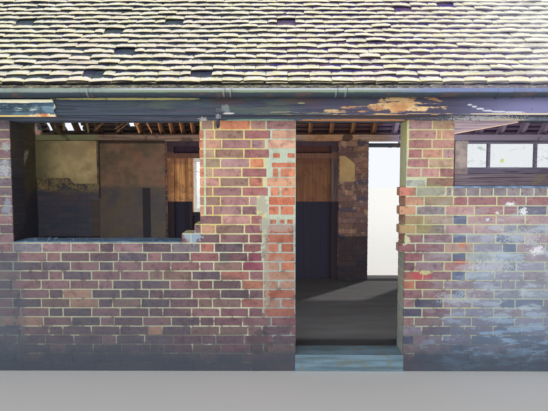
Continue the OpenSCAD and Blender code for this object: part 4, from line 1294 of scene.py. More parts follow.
# %% Put the noted rows into the bond
def by_hand(wall, course, laid):
    """Clears each noted zone of the regular bond and puts its own bricks there."""
    laid = [[u0, u1, tie, BRICK[2]] for u0, u1, tie in laid]
    if wall.name != "front":
        return laid
    start, end = laid[0][0], laid[-1][1]
    for low, high, bricks in HAND_LAID.get(course, ()):
        if start > bricks[0][0] + 0.02 or end < bricks[-1][1] - 0.02:
            continue
        kept = []
        for u0, u1, tie, tall in laid:
            before, after = min(u1, low - JOINT / 2), max(u0, high + JOINT / 2)
            if before - u0 > SHORTEST:
                kept.append([u0, before, tie and before == u1, tall])
            if u1 - after > SHORTEST:
                kept.append([after, u1, tie and after == u0, tall])
        for brick in bricks:
            tall = brick[2] if len(brick) > 2 else BRICK[2]
            kept.append([brick[0], brick[1], course == SILL_ROW and brick[0] > SILL_SPAN[0], tall])
        laid = sorted(kept)
    return laid


pier_row = by_hand(WALLS["front"], 20, bond(WALLS["front"], 20, PIER_EDGE, REPAIR_END))
print("course 20 of the pier has", len(pier_row), "bricks")
# %% [markdown]
# ## The tone of a brick
# Most bricks here are plum, pink-brown or olive-brown stocks. Orange ones sit in the repair
# beside the doorway and on both door jambs, and every second course of the right wall has a
# blue burnt header. Bricks seen clearly in the photograph are listed with their own tone.

# %% Tones
TONE_PAINTS = {
    "rosy": (196, 150, 142), "plum": (172, 128, 128), "mauve": (180, 146, 148),
    "clay": (204, 156, 136), "red": (206, 132, 116), "brown": (164, 132, 118),
    "olive": (170, 152, 126), "orange": (222, 172, 142), "bright": (228, 150, 116),
    "deep": (134, 102, 108), "dusk": (122, 104, 112), "lilac": (182, 170, 184),
    "blue": (84, 98, 138), "grey": (156, 150, 156), "rose": (204, 156, 150),
    "navy": (86, 84, 112), "mint": (192, 202, 192), "tan": (190, 164, 138),
    "pinkish": (226, 178, 152), "wine": (168, 112, 114), "crimson": (176, 96, 112),
    "ember": (214, 128, 96), "slate": (152, 146, 152), "pale": (190, 198, 204),
}
TONE = {name: paint(*tone) for name, tone in TONE_PAINTS.items()}
print(len(TONE), "tones")

# %% The noted bricks: where each begins and ends, and its tone
NOTED = {
    26: [(-1.09, -0.95, "brown"), (-0.94, -0.71, "bright"), (-0.70, -0.58, "rosy"), (-0.57, -0.34, "plum"),
         (0.48, 0.73, "mauve"), (0.73, 0.98, "tan")],
    25: [(-1.12, -1.07, "bright"), (-1.06, -0.99, "clay"), (-0.98, -0.76, "brown"), (-0.75, -0.54, "wine"),
         (-0.54, -0.34, "pinkish"), (0.48, 0.76, "rose"), (0.78, 0.98, "clay")],
    24: [(-1.12, -1.07, "bright"), (-1.06, -0.93, "clay"), (-0.93, -0.70, "plum"), (-0.70, -0.58, "mauve"),
         (-0.57, -0.34, "pinkish"), (0.48, 0.73, "plum"), (0.73, 0.98, "rosy")],
    23: [(-1.12, -1.07, "bright"), (-1.06, -0.99, "tan"), (-0.98, -0.76, "brown"), (-0.75, -0.54, "wine"),
         (-0.54, -0.34, "ember"), (0.48, 0.65, "wine"), (0.66, 0.81, "clay"), (0.82, 0.98, "mauve")],
    22: [(-1.12, -1.07, "orange"), (-1.06, -0.93, "olive"), (-0.93, -0.71, "mauve"), (-0.70, -0.58, "bright"),
         (-0.57, -0.34, "ember"), (0.48, 0.70, "plum"), (0.70, 0.98, "tan")],
    21: [(-1.12, -1.07, "bright"), (-1.06, -1.0, "tan"), (-1.0, -0.77, "rosy"), (-0.76, -0.54, "wine"),
         (-0.54, -0.34, "bright"), (0.48, 0.64, "rosy"), (0.65, 0.79, "rose"), (0.80, 0.98, "plum")],
    20: [(-1.12, -1.07, "orange"), (-1.06, -0.94, "rosy"), (-0.94, -0.71, "brown"), (-0.70, -0.58, "red"),
         (-0.57, -0.34, "orange"), (0.43, 0.69, "mint"), (0.69, 1.08, "brown")],
    19: [(-1.12, -1.07, "bright"), (-1.06, -1.0, "brown"), (-1.0, -0.77, "plum"), (-0.76, -0.56, "wine"),
         (-0.56, -0.34, "bright"), (0.43, 0.62, "red"), (0.63, 0.86, "mint"), (0.86, 2.58, "slate")],
    18: [(-1.12, -0.94, "brown"), (-0.94, -0.71, "plum"), (-0.57, -0.34, "ember"), (0.43, 0.66, "orange"),
         (0.67, 0.86, "olive"), (0.87, 1.60, "wine"), (1.60, 2.48, "plum")],
    17: [(-1.12, -1.07, "orange"), (-1.0, -0.77, "mauve"), (-0.76, -0.62, "deep"), (-0.57, -0.34, "ember"),
         (0.43, 0.63, "orange"), (0.64, 0.84, "grey"), (0.85, 1.07, "rose"), (1.07, 1.30, "wine"),
         (1.42, 1.53, "red")],
    16: [(-1.12, -0.94, "deep"), (-0.93, -0.70, "rosy"), (-0.70, -0.60, "wine"), (-0.57, -0.34, "ember"),
         (0.43, 0.68, "plum"), (0.69, 0.90, "tan"), (0.90, 1.01, "blue"), (1.02, 1.24, "rose"),
         (1.25, 1.78, "rosy")],
    15: [(-1.10, -0.99, "orange"), (-0.98, -0.75, "brown"), (-0.75, -0.60, "wine"), (0.43, 0.56, "orange"),
         (0.58, 0.86, "olive"), (0.86, 1.28, "rose"), (1.28, 1.63, "grey")],
    14: [(-1.10, -0.94, "deep"), (-0.94, -0.71, "plum"), (-0.71, -0.60, "wine"), (0.43, 0.58, "tan"),
         (0.59, 0.73, "wine"), (0.74, 0.90, "plum"), (0.91, 1.01, "blue"), (1.02, 1.25, "lilac")],
    13: [(-1.10, -0.99, "red"), (-0.98, -0.77, "dusk"), (-0.76, -0.60, "wine"), (0.43, 0.62, "wine"),
         (0.62, 0.74, "wine"), (0.75, 0.90, "rose"), (0.91, 1.14, "orange"), (1.31, 1.42, "blue"),
         (1.43, 1.70, "rose")],
    12: [(-0.95, -0.73, "deep"), (-0.72, -0.60, "crimson"), (0.43, 0.68, "wine"), (0.69, 0.90, "mauve"),
         (0.91, 1.02, "blue"), (1.03, 1.26, "mint")],
    11: [(-0.98, -0.77, "brown"), (-0.76, -0.60, "crimson"), (0.43, 0.56, "wine"), (0.56, 0.68, "deep"),
         (0.68, 0.88, "mauve"), (0.88, 1.03, "red"), (1.04, 1.30, "lilac"), (1.31, 1.42, "navy")],
    10: [(-0.94, -0.71, "red"), (-0.70, -0.60, "plum"), (0.43, 0.58, "deep"), (0.58, 0.74, "red"),
         (0.75, 0.90, "wine"), (0.91, 1.01, "blue")],
    9: [(-1.0, -0.78, "deep"), (-0.78, -0.60, "bright"), (0.43, 0.59, "bright"), (0.59, 0.82, "wine"),
        (0.83, 1.04, "mauve")],
    8: [(-2.23, -1.99, "orange"), (-1.12, -0.93, "plum"), (-0.93, -0.71, "dusk"), (-0.71, -0.60, "deep"),
        (0.43, 0.68, "wine"), (0.69, 0.88, "plum"), (0.91, 1.01, "blue")],
    7: [(-2.17, -2.02, "orange"), (-1.12, -0.77, "brown"), (-0.77, -0.60, "red"), (0.43, 0.59, "rose"),
        (0.59, 0.81, "navy")],
    6: [(-0.93, -0.72, "wine"), (-0.71, -0.60, "wine"), (0.43, 0.66, "navy"), (0.66, 0.88, "wine"),
        (0.88, 1.18, "lilac")],
    5: [(-2.70, -2.65, "orange"), (-2.58, -2.40, "orange"), (-0.98, -0.77, "wine"), (-0.77, -0.58, "plum"),
        (0.58, 0.88, "brown"), (0.88, 1.18, "lilac")],
    4: [(-1.50, -1.40, "orange"), (-0.95, -0.74, "brown"), (-0.73, -0.60, "plum")],
}
print(sum(len(row) for row in NOTED.values()), "noted bricks")

# %% Mixes for all other bricks
MIXES = {
    "left": ("dusk", "deep", "deep", "plum", "dusk", "brown", "deep", "dusk", "plum"),
    "top": ("mauve", "grey", "grey", "plum", "dusk"),
    "jamb": ("dusk", "grey", "deep", "dusk", "plum"),
    "upper pier": ("plum", "mauve", "rosy", "plum", "clay", "mauve", "brown", "rosy", "plum", "red"),
    "lower pier": ("deep", "wine", "deep", "brown", "plum", "dusk", "brown", "wine"),
    "repair": ("ember", "orange", "bright", "clay", "ember", "orange"),
    "right": ("wine", "mauve", "lilac", "plum", "grey", "deep", "rosy", "blue", "mauve", "navy"),
    "washed": ("lilac", "grey", "mauve", "lilac", "plum", "pale", "lilac", "blue", "pale", "rosy"),
    "outside": ("plum", "red", "brown", "mauve", "rosy", "deep", "clay", "orange", "blue"),
}


def mix_at(u, course):
    """Which mix of bricks the front wall shows at this place."""
    if REPAIR_EDGE < u < REPAIR_END and 6 <= course <= 25:
        return "repair"
    if u < -2.60 and course > 13:
        return "jamb"
    if u < -1.10:
        return "top" if course == 13 else "left"
    if u > 1.0 and 4 < course < 17:
        return "washed"
    if u > 0.0:
        return "right"
    return "upper pier" if course > 15 else "lower pier"


def brick_tone(wall, u, course, dice):
    """The colour of a brick whose middle is at u, a little different for each brick."""
    if wall.name != "front":
        name = dice.choice(MIXES["outside"])
    else:
        name = next((tone for low, high, tone in NOTED.get(course, ()) if low < u < high), None)
        name = name or dice.choice(MIXES[mix_at(u, course)])
    lighter = dice.uniform(0.86, 1.13)
    warmer = dice.uniform(-0.04, 0.04)
    red, green, blue, _ = TONE[name]
    return (min(1, red * lighter * (1 + warmer)), min(1, green * lighter),
            min(1, blue * lighter * (1 - warmer)), 1.0)


print("high up, the pier mixes", ", ".join(MIXES[mix_at(-0.8, 20)]))

# %% [markdown]
# ## One brick
# The outline is a rectangle with worn corners, each point off by about a millimetre. Now and
# then a corner is broken away. The face stands one to three millimetres proud of the mortar,
# on the outside, in the reveals and inside the room alike, because the pointing has weathered
# back. A bevel over one plain block would be quicker, but would make all bricks alike.

# %% The outline of a worn brick
WORN = 0.0003
PROUD = 0.0022
ARRIS = 0.0018
ROUNDED = 0.0026
UNEVEN = 0.0011
CHIPPED = 0.12
CHIP = 0.012


def outline(u0, u1, z0, z1, dice, fine):
    """Points round the brick's face, counter-clockwise as seen from outside."""
    thirds = [u0 + (u1 - u0) * share for share in ((0.33, 0.67) if fine else ())]
    middle = [(z0 + z1) / 2] if fine else []
    left, right, low, high = u0 + ROUNDED, u1 - ROUNDED, z0 + ROUNDED, z1 - ROUNDED
    ring = [(left, z0), *[(u, z0) for u in thirds], (right, z0), (u1, low),
            *[(u1, z) for z in middle], (u1, high), (right, z1),
            *[(u, z1) for u in reversed(thirds)], (left, z1), (u0, high),
            *[(u0, z) for z in middle], (u0, low)]
    ring = [[u + dice.uniform(-UNEVEN, UNEVEN), z + dice.uniform(-UNEVEN, UNEVEN)] for u, z in ring]
    if fine and dice.random() < CHIPPED and u1 - u0 > 0.08:
        bite_u, bite_z = dice.uniform(0.005, 0.014), dice.uniform(0.003, 0.009)
        at_left, at_foot = dice.random() < 0.5, dice.random() < 0.5
        corner_u, corner_z = u0 if at_left else u1, z0 if at_foot else z1
        for point in ring:
            if abs(point[0] - corner_u) < CHIP and abs(point[1] - corner_z) < CHIP:
                if abs(point[0] - corner_u) > 0.0025:
                    point[0] += bite_u if at_left else -bite_u
                else:
                    point[1] += bite_z if at_foot else -bite_z
    return ring


print("bricks stand", round(PROUD * 1000, 1), "mm proud, with corners worn by", round(ARRIS * 1000, 1))


# %% One brick in its place
def lay(heap, wall, course, u0, u1, z1, d0, d1, skin_in, dice, fine):
    """One brick from depth d0 to d1; skin_in says whether its inner end is seen too."""
    z0 = course * COURSE + WORN
    if course == SILL_ROW and SILL_SPAN[0] < u0 and u1 < SILL_SPAN[1] and wall.name == "front":
        z1 = min(z1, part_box("front_apron_right")[1].z + 0.002)
    z1 = min(z1, z0 + BRICK[2]) - WORN
    u0, u1 = u0 + WORN, u1 - WORN
    if z1 - z0 < 0.02 or u1 - u0 < 0.03:
        return
    front = d0 - dice.uniform(0.4, 1.4) * PROUD if d0 <= 0 else d0
    back = d1 + dice.uniform(0.4, 1.4) * PROUD if skin_in else d1
    ring = outline(u0, u1, z0, z1, dice, fine)
    mid_u, mid_z = (u0 + u1) / 2, (z0 + z1) / 2

    def shrink(depth, inset):
        shrunk = []
        for u, z in ring:
            u -= math.copysign(min(inset, abs(u - mid_u) * 0.5), u - mid_u)
            z -= math.copysign(min(inset, abs(z - mid_z) * 0.5), z - mid_z)
            z = max(z, 0.0)
            if z > 2.0:
                z = min(z, max(wall.top(u, z), z0))
            shrunk.append(tuple(wall.point(u, depth, z)))
        return shrunk

    rings = [shrink(front, ARRIS if d0 <= 0 else 0), shrink(front + ARRIS, 0)]
    if skin_in:
        rings += [shrink(back - ARRIS, 0), shrink(back, ARRIS)]
    else:
        rings.append(shrink(back, 0))
    heap.solid(rings, brick_tone(wall, mid_u, course, dice))

# %% [markdown]
# ## Course by course
# Each wall is laid from the ground up. Where a header or a short bat is backed by wall it goes
# right through, and any other brick has a partner in the inner leaf. At a corner only the wall
# that runs through has a brick there.

# %% Lay the bricks
WALL_COURSES = 27
NEAR = 0.06
TUCK = 0.004
OUTER = (0.0, BRICK[1] + 0.002)
INNER = (LEAF - BRICK[1] - 0.002, LEAF)
HALF_BAT = 0.13
ABOVE_BED = 0.012
INNER_DEPTH = 0.17


def brick_wall(wall, fine):
    heap = Heap()
    dice = random.Random(wall.name)
    corner_dice = random.Random(wall.name + " corners")
    low, high = wall.ends
    course = 0
    while spans := wall.stretches(course * COURSE + ABOVE_BED):
        inner = wall.stretches(course * COURSE + ABOVE_BED, INNER_DEPTH)
        runs_through = course % 2 == wall.through_on
        in_bond = course < WALL_COURSES
        for a, b in ((low - TUCK, low + LEAF), (high - LEAF, high + TUCK)):
            bare = not any(start < b + NEAR and a - NEAR < end for start, end in spans)
            if bare and runs_through and in_bond:
                for d0, d1 in (OUTER, INNER):
                    lay(heap, wall, course, a, b, course * COURSE + BRICK[2], d0, d1, False,
                        corner_dice, False)
        for start, end in spans:
            at_low, at_high = start < low + LEAF + NEAR, end > high - LEAF - NEAR
            if in_bond and at_low:
                start = low if runs_through else low + LEAF + JOINT
            if in_bond and at_high:
                end = high if runs_through else high - LEAF - JOINT
            low_end = start - (TUCK if not at_low or runs_through else 0)
            high_end = end + (TUCK if not at_high or runs_through else 0)
            for u0, u1, tie, tall in by_hand(wall, course, bond(wall, course, low_end, high_end)):
                z1 = course * COURSE + tall
                backed = any(a - 0.01 < u0 and u1 < b + 0.01 for a, b in inner)
                if (tie or u1 - u0 < HALF_BAT) and backed:
                    lay(heap, wall, course, u0, u1, z1, 0.0, LEAF, True, dice, fine)
                    continue
                lay(heap, wall, course, u0, u1, z1, *OUTER, False, dice, fine)
                corners = ((low, low + LEAF - 0.006), (high - LEAF + 0.006, high))
                if not (runs_through and in_bond and wall.through_on == 1):
                    corners = ()
                for places, seen_inside, own_dice in ((inner, True, dice), (corners, False, corner_dice)):
                    for a, b in places:
                        a, b = max(a - TUCK, u0), min(b + TUCK, u1)
                        if b - a > SHORTEST / 2:
                            lay(heap, wall, course, a, b, z1, *INNER, seen_inside, own_dice, False)
        course += 1
    return heap.piece(wall.name + "_bricks", brick_finish, "brickwork", "tone")


for wall in WALLS.values():
    brick_wall(wall, fine=wall.name == "front")

# %% [markdown]
# ## The roof
# Plain clay tiles, 165 mm wide and 265 mm long, lie so that only 9 cm of each shows. The CAD
# part holds each course as one strip. Here the strips are read back from its mesh, and each is
# filled with single tiles, half a tile over in every second course. A handmade tile is cambered
# both ways, which makes the tails wavy.

# %% Read the courses from the CAD roof
board_low, board_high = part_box("ridge_board")
ridge_y = board_low.y / 2 + board_high.y / 2
TILE_STEP = 0.1648
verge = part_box("front_tiles")[0].x


def strips(node):
    """Each strip of the node as its two ends, its tail, its direction up the slope and outwards."""
    mesh = node.data
    numbered = {}
    same = [numbered.setdefault(tuple(round(c, 4) for c in v.co), len(numbered)) for v in mesh.vertices]
    corner = list(numbered)
    joined = list(range(len(corner)))

    def root(i):
        while joined[i] != i:
            i = joined[i]
        return i

    for face in mesh.polygons:
        ids = [root(same[v]) for v in face.vertices]
        for other in ids[1:]:
            joined[root(other)] = root(ids[0])
    groups = {}
    for i, point in enumerate(corner):
        groups.setdefault(root(i), []).append(point)
    found = []
    for points in groups.values():
        low_x, high_x = min(p[0] for p in points), max(p[0] for p in points)
        section = [Vector((0, y, z)) for y, z in sorted(
            {(p[1], p[2]) for p in points}, key=lambda yz: -abs(yz[0] - ridge_y))]
        tail, head = sorted(section[:2], key=lambda p: p.z), sorted(section[2:4], key=lambda p: p.z)
        up = ((head[0] + head[1]) - (tail[0] + tail[1])).normalized()
        thick = (tail[1] - tail[0]).length
        length = ((head[0] + head[1]) - (tail[0] + tail[1])).length / 2
        out = Vector((0, -up.z, up.y)) if up.y > 0 else Vector((0, up.z, -up.y))
        found.append((low_x, high_x, tail[0], up, out, length, thick))
    return sorted(found, key=lambda strip: (-abs(strip[2].y - ridge_y), strip[5], strip[0]))


STRIPS = {name: strips(nodes[name]) for name in ("front_tiles", "rear_tiles")}
print("strips of tiles:", {name: len(found) for name, found in STRIPS.items()})

# %% [markdown]
# ### One tile
# A grid of points, bent and tilted a little, gives the tile its camber, and a second grid below
# it gives the thickness. Each point carries its distance from the tail for the lichen.
# The same distance places the painted sunlight and the painted shadow on every course.

# %% The faces of a slab between two grids
ACROSS = 6
ALONG = (0.0, 0.10, 1.0)


def slab_faces(rows, columns):
    """Faces between two grids of points, the lower grid first."""
    layer_size = rows * columns

    def at(layer, row, column):
        return layer * layer_size + row * columns + column

    faces = []
    for row in range(rows - 1):
        for column in range(columns - 1):
            upper = (at(1, row, column), at(1, row, column + 1), at(1, row + 1, column + 1),
                     at(1, row + 1, column))
            faces += [upper, tuple(i - layer_size for i in reversed(upper))]
        for column, flip in ((0, False), (columns - 1, True)):
            side = (at(0, row, column), at(1, row, column), at(1, row + 1, column),
                    at(0, row + 1, column))
            faces.append(side[::-1] if flip else side)
    for column in range(columns - 1):
        for row, flip in ((0, False), (rows - 1, True)):
            edge = (at(0, row, column), at(0, row, column + 1), at(1, row, column + 1),
                    at(1, row, column))
            faces.append(edge[::-1] if flip else edge)
    return faces


TILE_FACES = slab_faces(len(ALONG), ACROSS)
print("a tile has", len(TILE_FACES), "faces")


# %% A cambered tile
def tile(heap, x0, x1, low, up, out, length, thick, dice, slip):
    """One cambered tile; each point knows how far up from the tail it lies."""
    hog = dice.uniform(0.0012, 0.0048)
    dice.random()  # keeps every later tile as it lies
    lift = dice.choice((0.0, 0.001, 0.002, 0.0035, 0.005)) + (0.005 if dice.random() < 0.08 else 0)
    tilt = dice.uniform(-0.0035, 0.0035)
    turn = dice.uniform(-0.0065, 0.0065)
    slide = -slip + dice.uniform(-0.005, 0.005)
    bite = dice.uniform(0.008, 0.028) if dice.random() < 0.08 else 0.0
    bite_side = dice.choice((0, ACROSS - 1))
    seed = dice.random()
    points, values = [], []
    for layer in (0, 1):
        for row, share in enumerate(ALONG):
            for column in range(ACROSS):
                s = column / (ACROSS - 1)
                x = x0 + (x1 - x0) * s
                v = length * share + slide * (1 - share * 0.6) + turn * (s - 0.5) * 2 * (1 - share)
                v += dice.uniform(-0.0012, 0.0012) if share == 0 else 0
                if bite and row == 0 and column == bite_side:
                    v += bite
                w = hog * (1 - (2 * s - 1) ** 2) + (lift + tilt * (2 * s - 1)) * (1 - share)
                w += (thick - (0.0012 if row == 0 else 0)) * layer
                points.append(tuple(Vector((x, low.y, low.z)) + up * v + out * w))
                values.append((max(0.0, length * share), seed, s))
    faces = TILE_FACES if up.y > 0 else [face[::-1] for face in TILE_FACES]
    heap.drop(points, faces, values)


# %% Lay the tiles
# where a tile of this course has slid down, and how far
SLIPPED = {("front_tiles", 5): [(-2.14, 0.030)]}
SLIVER = 0.03
TILES_ACROSS = 52
UNDER_TILE = 0.24


def tiled(node_name, piece_name):
    heap = Heap()
    dice = random.Random(node_name)
    rows = STRIPS[node_name]
    reach = [round(abs(row[2].y - ridge_y), 2) for row in rows]
    heights = sorted(set(reach), reverse=True)
    for (x_low, x_high, low, up, out, length, thick), far in zip(rows, reach):
        course = heights.index(far)
        under = length < UNDER_TILE
        shift = 0.5 if (course % 2 == 1) != under else 0.0
        start = verge + (shift - 1) * TILE_STEP
        for n in range(TILES_ACROSS):
            gap = dice.uniform(0.0008, 0.0022)
            x0, x1 = start + n * TILE_STEP + gap, start + (n + 1) * TILE_STEP - gap
            x0, x1 = max(x0, x_low), min(x1, x_high)
            if x1 - x0 < SLIVER:
                continue
            slip = sum(by for middle, by in SLIPPED.get((node_name, course), ()) if x0 < middle < x1)
            if not under and not slip and dice.random() < 0.03:
                slip = dice.uniform(0.004, 0.011)
            # every course runs in slow waves
            slip += 0.005 * math.sin(x0 * 2.1 + course * 1.3) + 0.003 * math.sin(x0 * 5.3 - course)
            tile(heap, x0, x1, low, up, out, length, thick, dice, slip)
    piece = heap.piece(piece_name, tile_finish, "clay_tile", "lie", smooth=35)
    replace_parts(piece, node_name)
    return piece


tiled("front_tiles", "front_plain_tiles")
tiled("rear_tiles", "rear_plain_tiles")

# %% [markdown]
# ## The boards of the bay
# The timber bay in the rear wall is closed with upright boards. Each has its edges eased, so
# that a small groove shows between two boards, and no two stand quite level with each other.
# Lines painted on one sheet would do from far off, but not in the low light of the window.

# %% Nail up the boards
window_low, window_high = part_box("rear_window_frame")
rail_z = window_high.z + 0.034
EASED = 0.003
NARROWEST = 0.008


def board(heap, x0, x1, z0, z1, dice):
    """An upright board with eased edges, seen in plan as an octagon."""
    y0 = bay_low.y + dice.uniform(0.0, 0.0012)
    y1 = bay_high.y - dice.uniform(0.0, 0.0022)
    plan = [(x0 + EASED, y0), (x1 - EASED, y0), (x1, y0 + EASED), (x1, y1 - EASED),
            (x1 - EASED, y1), (x0 + EASED, y1), (x0, y1 - EASED), (x0, y0 + EASED)]
    heap.solid([[(x, y, z) for x, y in reversed(plan)] for z in (z0, z1)], (x0, 0.0, 0.0))


heap = Heap()
dice = random.Random("boards")
edges = [bay_low.x + i * BOARD_WIDTH for i in range(BOARD_COUNT)] + [bay_high.x]
for x0, x1 in zip(edges, edges[1:]):
    board(heap, x0, x1, rail_z, bay_high.z, dice)
    sides = [(x0, min(x1, window_low.x)), (max(x0, window_high.x), x1)]
    for a, b in sides:
        if b - a > NARROWEST:
            board(heap, a, b, bay_low.z, rail_z, dice)
    a, b = max(x0, window_low.x), min(x1, window_high.x)
    if b - a > NARROWEST:
        board(heap, a, b, bay_low.z, window_low.z, dice)
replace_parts(heap.piece("bay_boards", board_finish, "bay_timber", "place"), "rear_boarding")

# %% [markdown]
# ## Leaf mould, bedding and crumbs
# The front gutter is full of leaf mould and flaked tile up to the tails of the lowest tiles.
# Ridge and verges are bedded in mortar, which was pressed in by trowel and is coming away in
# lumps. Crumbs of mortar lie on the broken sills. All of it could be sculpted; here one section
# is drawn along with an unsteady hand, so that it can be made again at any length.

# %% A lumpy strip: one section drawn along the building
def lumpy_strip(heap, section, start, end, pitch, wobble, dice, breaks=0.0):
    """Draws the section, given as (y, z) points, from start to end; it may break off in places."""
    run, x = [], start
    while x < end + pitch / 2:
        run.append([(x, y + dice.uniform(-wobble, wobble), z + dice.uniform(-wobble, wobble))
                    for y, z in section])
        x += pitch
        broken = dice.random() < breaks
        if len(run) > 2 and (broken or x > end):
            heap.solid(run)
            run = []
            x += dice.uniform(0.02, 0.12) if broken else pitch


# %% Leaf mould in the front gutter
rim_z, trough_y = gutter_high.z, (gutter_low.y + gutter_high.y) / 2
mould = [(trough_y + y, rim_z + z) for y, z in (
    (-0.054, -0.016), (-0.036, 0.000), (-0.014, 0.022), (0.008, 0.034), (0.034, 0.032),
    (0.052, 0.012), (0.044, -0.030), (0.002, -0.046), (-0.038, -0.036))]
heap = Heap()
lumpy_strip(heap, mould, gutter_low.x + 0.02, gutter_high.x - 0.02, 0.016, 0.0026, random.Random("mould"))
heap.piece("gutter_leaf_mould", mould_finish, "mortar", "place", smooth=60)

# %% Bedding under the ridge and the verges
ridge_low, ridge_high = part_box("ridge_tiles")
reach = ridge_y - ridge_low.y
fillet = [(reach - 0.018, 0.026), (reach + 0.003, 0.003), (reach + 0.014, -0.036), (reach - 0.028, -0.010)]
heap = Heap()
dice = random.Random("bedding")
for side in (-1, 1):
    section = [(ridge_y + side * y, ridge_low.z + z) for y, z in fillet]
    section = section if side > 0 else section[::-1]
    lumpy_strip(heap, section[::-1], ridge_low.x + 0.01, ridge_high.x - 0.01, 0.022, 0.0022, dice, 0.012)
wall_end = {-1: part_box("left_gable_wall")[0].x, 1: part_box("right_gable_wall")[1].x}
for found in STRIPS.values():
    for x_low, x_high, low, up, out, length, thick in found:
        for side in (-1, 1):
            tip = x_low if side < 0 else x_high
            if abs(tip - wall_end[side]) > 0.05 or length < UNDER_TILE or dice.random() < 0.06:
                continue
            depth = dice.uniform(0.014, 0.026)
            far = tip - side * dice.uniform(0.002, 0.010)
            near = wall_end[side] - side * 0.03
            x0, x1 = min(near, far), max(near, far)
            ring = [low + up * 0.006 - out * depth, low + up * 0.084 - out * (depth + 0.004),
                    low + up * 0.090 - out * 0.001, low + up * 0.004 - out * 0.001]
            ring = ring if up.y > 0 else ring[::-1]
            heap.solid([[(x, p.y, p.z) for p in ring] for x in (x1, x0)])
heap.piece("tile_bedding", bedding_finish, "mortar", "place")

# %% Crumbs on the sills
heap = Heap()
dice = random.Random("crumbs")
for node_name, count in (("wide_sill_capping", 46), ("right_sill_capping", 30)):
    sill_low, sill_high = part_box(node_name)
    for n in range(count):
        size = dice.uniform(0.004, 0.012) * dice.uniform(0.8, 1.6)
        x = dice.uniform(sill_low.x + 0.03, sill_high.x - 0.03)
        y = dice.uniform(sill_low.y + 0.02, sill_high.y - 0.02)
        turn = dice.uniform(0, math.tau)
        rings = []
        for level, wide in ((0.0, 1.0), (0.45, 0.8), (0.8, 0.3)):
            rings.append([(x + size * wide * dice.uniform(0.7, 1.2) * math.cos(turn + i * math.tau / 6),
                           y + size * wide * dice.uniform(0.7, 1.2) * math.sin(turn + i * math.tau / 6),
                           sill_high.z - 0.004 + size * level) for i in range(6)])
        heap.solid([ring[::-1] for ring in rings])
heap.piece("sill_crumbs", capping_finish, "mortar", "place")

# %% [markdown]
# ## Loose laths and nails
# Where rear tiles are gone, pieces of lath hang down from the battens. Each rafter foot is
# nailed through the fascia, and the heads have rusted through the paint.

# %% Hang the laths
LATHS = [
    # top and bottom of each piece, and its width
    ((-3.030, 1.095, 2.560), (-2.965, 1.165, 2.110), 0.026),
    ((-2.500, 1.100, 2.445), (-2.890, 1.120, 2.118), 0.014),
    ((-2.520, 1.120, 2.435), (-2.890, 1.140, 2.150), 0.012),
    ((-2.230, 1.100, 2.415), (-2.613, 1.120, 2.150), 0.013),
    ((-2.250, 1.120, 2.370), (-2.600, 1.140, 2.112), 0.015),
    ((-2.238, 1.110, 2.310), (-2.335, 1.125, 2.190), 0.020),
    ((-2.405, 1.120, 2.400), (-2.290, 1.150, 2.100), 0.022),
    ((-2.200, 1.110, 2.260), (-2.125, 1.140, 2.098), 0.016),
    ((-3.330, 1.150, 2.530), (-3.300, 1.200, 2.130), 0.026),
]


def stick(heap, top, bottom, wide, thick):
    """A lath from top to bottom, its broad side towards the front."""
    top, bottom = Vector(top), Vector(bottom)
    run = (bottom - top).normalized()
    across = run.cross(Vector((0, 1, 0))).normalized() * wide / 2
    deep = run.cross(across).normalized() * thick / 2
    rings = []
    for spot, end in ((top, 0.0), (bottom, 0.010)):
        rings.append([tuple(spot + a * across + d * deep - run * end * (a + 1))
                      for a, d in ((-1, -1), (1, -1), (1, 1), (-1, 1))])
    heap.solid([ring[::-1] for ring in rings])


heap = Heap()
for top, bottom, wide in LATHS:
    stick(heap, top, bottom, wide, 0.008)
heap.piece("hanging_laths", lath_finish, "roof_timber", "place")

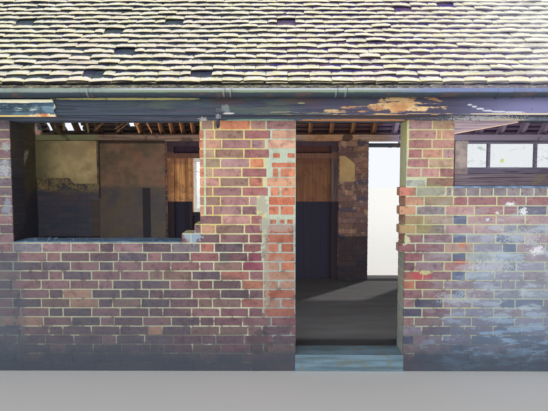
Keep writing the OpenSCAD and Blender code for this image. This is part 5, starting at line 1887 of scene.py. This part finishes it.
# %% Drive the nails
heap = Heap()
dice = random.Random("nails")
fascia_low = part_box("front_fascia")[0]
feet_low, feet_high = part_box("front_rafters")
count = round((feet_high.x - feet_low.x) / RAFTER_PITCH)
for i in range(count + 1):
    for z in (2.085, 2.165):
        x = feet_low.x + 0.025 + i * (feet_high.x - feet_low.x - 0.05) / count + dice.uniform(-0.008, 0.008)
        z += dice.uniform(-0.008, 0.008)
        y = patch_low.y if patch_low.x < x < patch_high.x else fascia_low.y
        heap.solid([[(x + r * math.cos(k * math.tau / 8), y + d, z + r * math.sin(k * math.tau / 8))
                     for k in range(8)] for r, d in ((0.0024, -0.0022), (0.0044, -0.0010), (0.0044, 0.004))])
heap.piece("fascia_nails", nail_finish, "gutter_iron", "place")

# %% [markdown]
# ## Finishes for the CAD nodes
# The walls of the CAD part are the mortar between the bricks. Every other node takes its own
# finish.

# %% Give each node its finish
NODE_FINISH = {
    mortar_finish: ["left_gable_wall", "right_gable_wall", "front_wall_left", "front_apron_left",
                    "centre_pier", "door_pier", "front_apron_right", "front_wall_right",
                    "rear_wall_left", "rear_pier", "rear_wall_mid", "rear_apron_right"],
    capping_finish: ["wide_sill_capping", "right_sill_capping"],
    concrete_finish: ["floor_slab", "front_threshold", "rear_threshold"],
    beam_finish: ["front_beam"],
    taper_finish: ["tapered_board"],
    hook_finish: ["iron_hook"],
    bay_finish: ["rear_bay_frame"],
    board_finish: ["rear_boarding"],
    white_finish: ["rear_window_frame"],
    glass_finish: ["rear_window_glass", "strip_window_glass"],
    strip_finish: ["strip_window_frame"],
    long_finish: ["rear_wall_plate", "ridge_board"],
    plaster_finish: ["wall_plaster"],
    sheet_finish: ["wall_sheet"],
    lining_finish: ["strip_board"],
    roof_finish: ["front_rafters", "rear_rafters", "collar_ties"],
    batten_finish: ["front_battens", "rear_battens"],
    ridge_finish: ["ridge_tiles"],
    tile_finish: ["front_tiles", "rear_tiles"],
    fascia_finish: ["front_fascia", "rear_fascia"],
    patch_finish: ["fascia_patch"],
    iron_finish: ["front_gutter", "rear_gutter", "gutter_brackets"],
}
for material, names in NODE_FINISH.items():
    for name in names:
        nodes[name].data.materials.clear()
        nodes[name].data.materials.append(material)
print(sum(len(names) for names in NODE_FINISH.values()), "nodes finished")

# %% Size of what is shown
low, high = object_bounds()
print("shown box", [round(size, 3) for size in high - low])
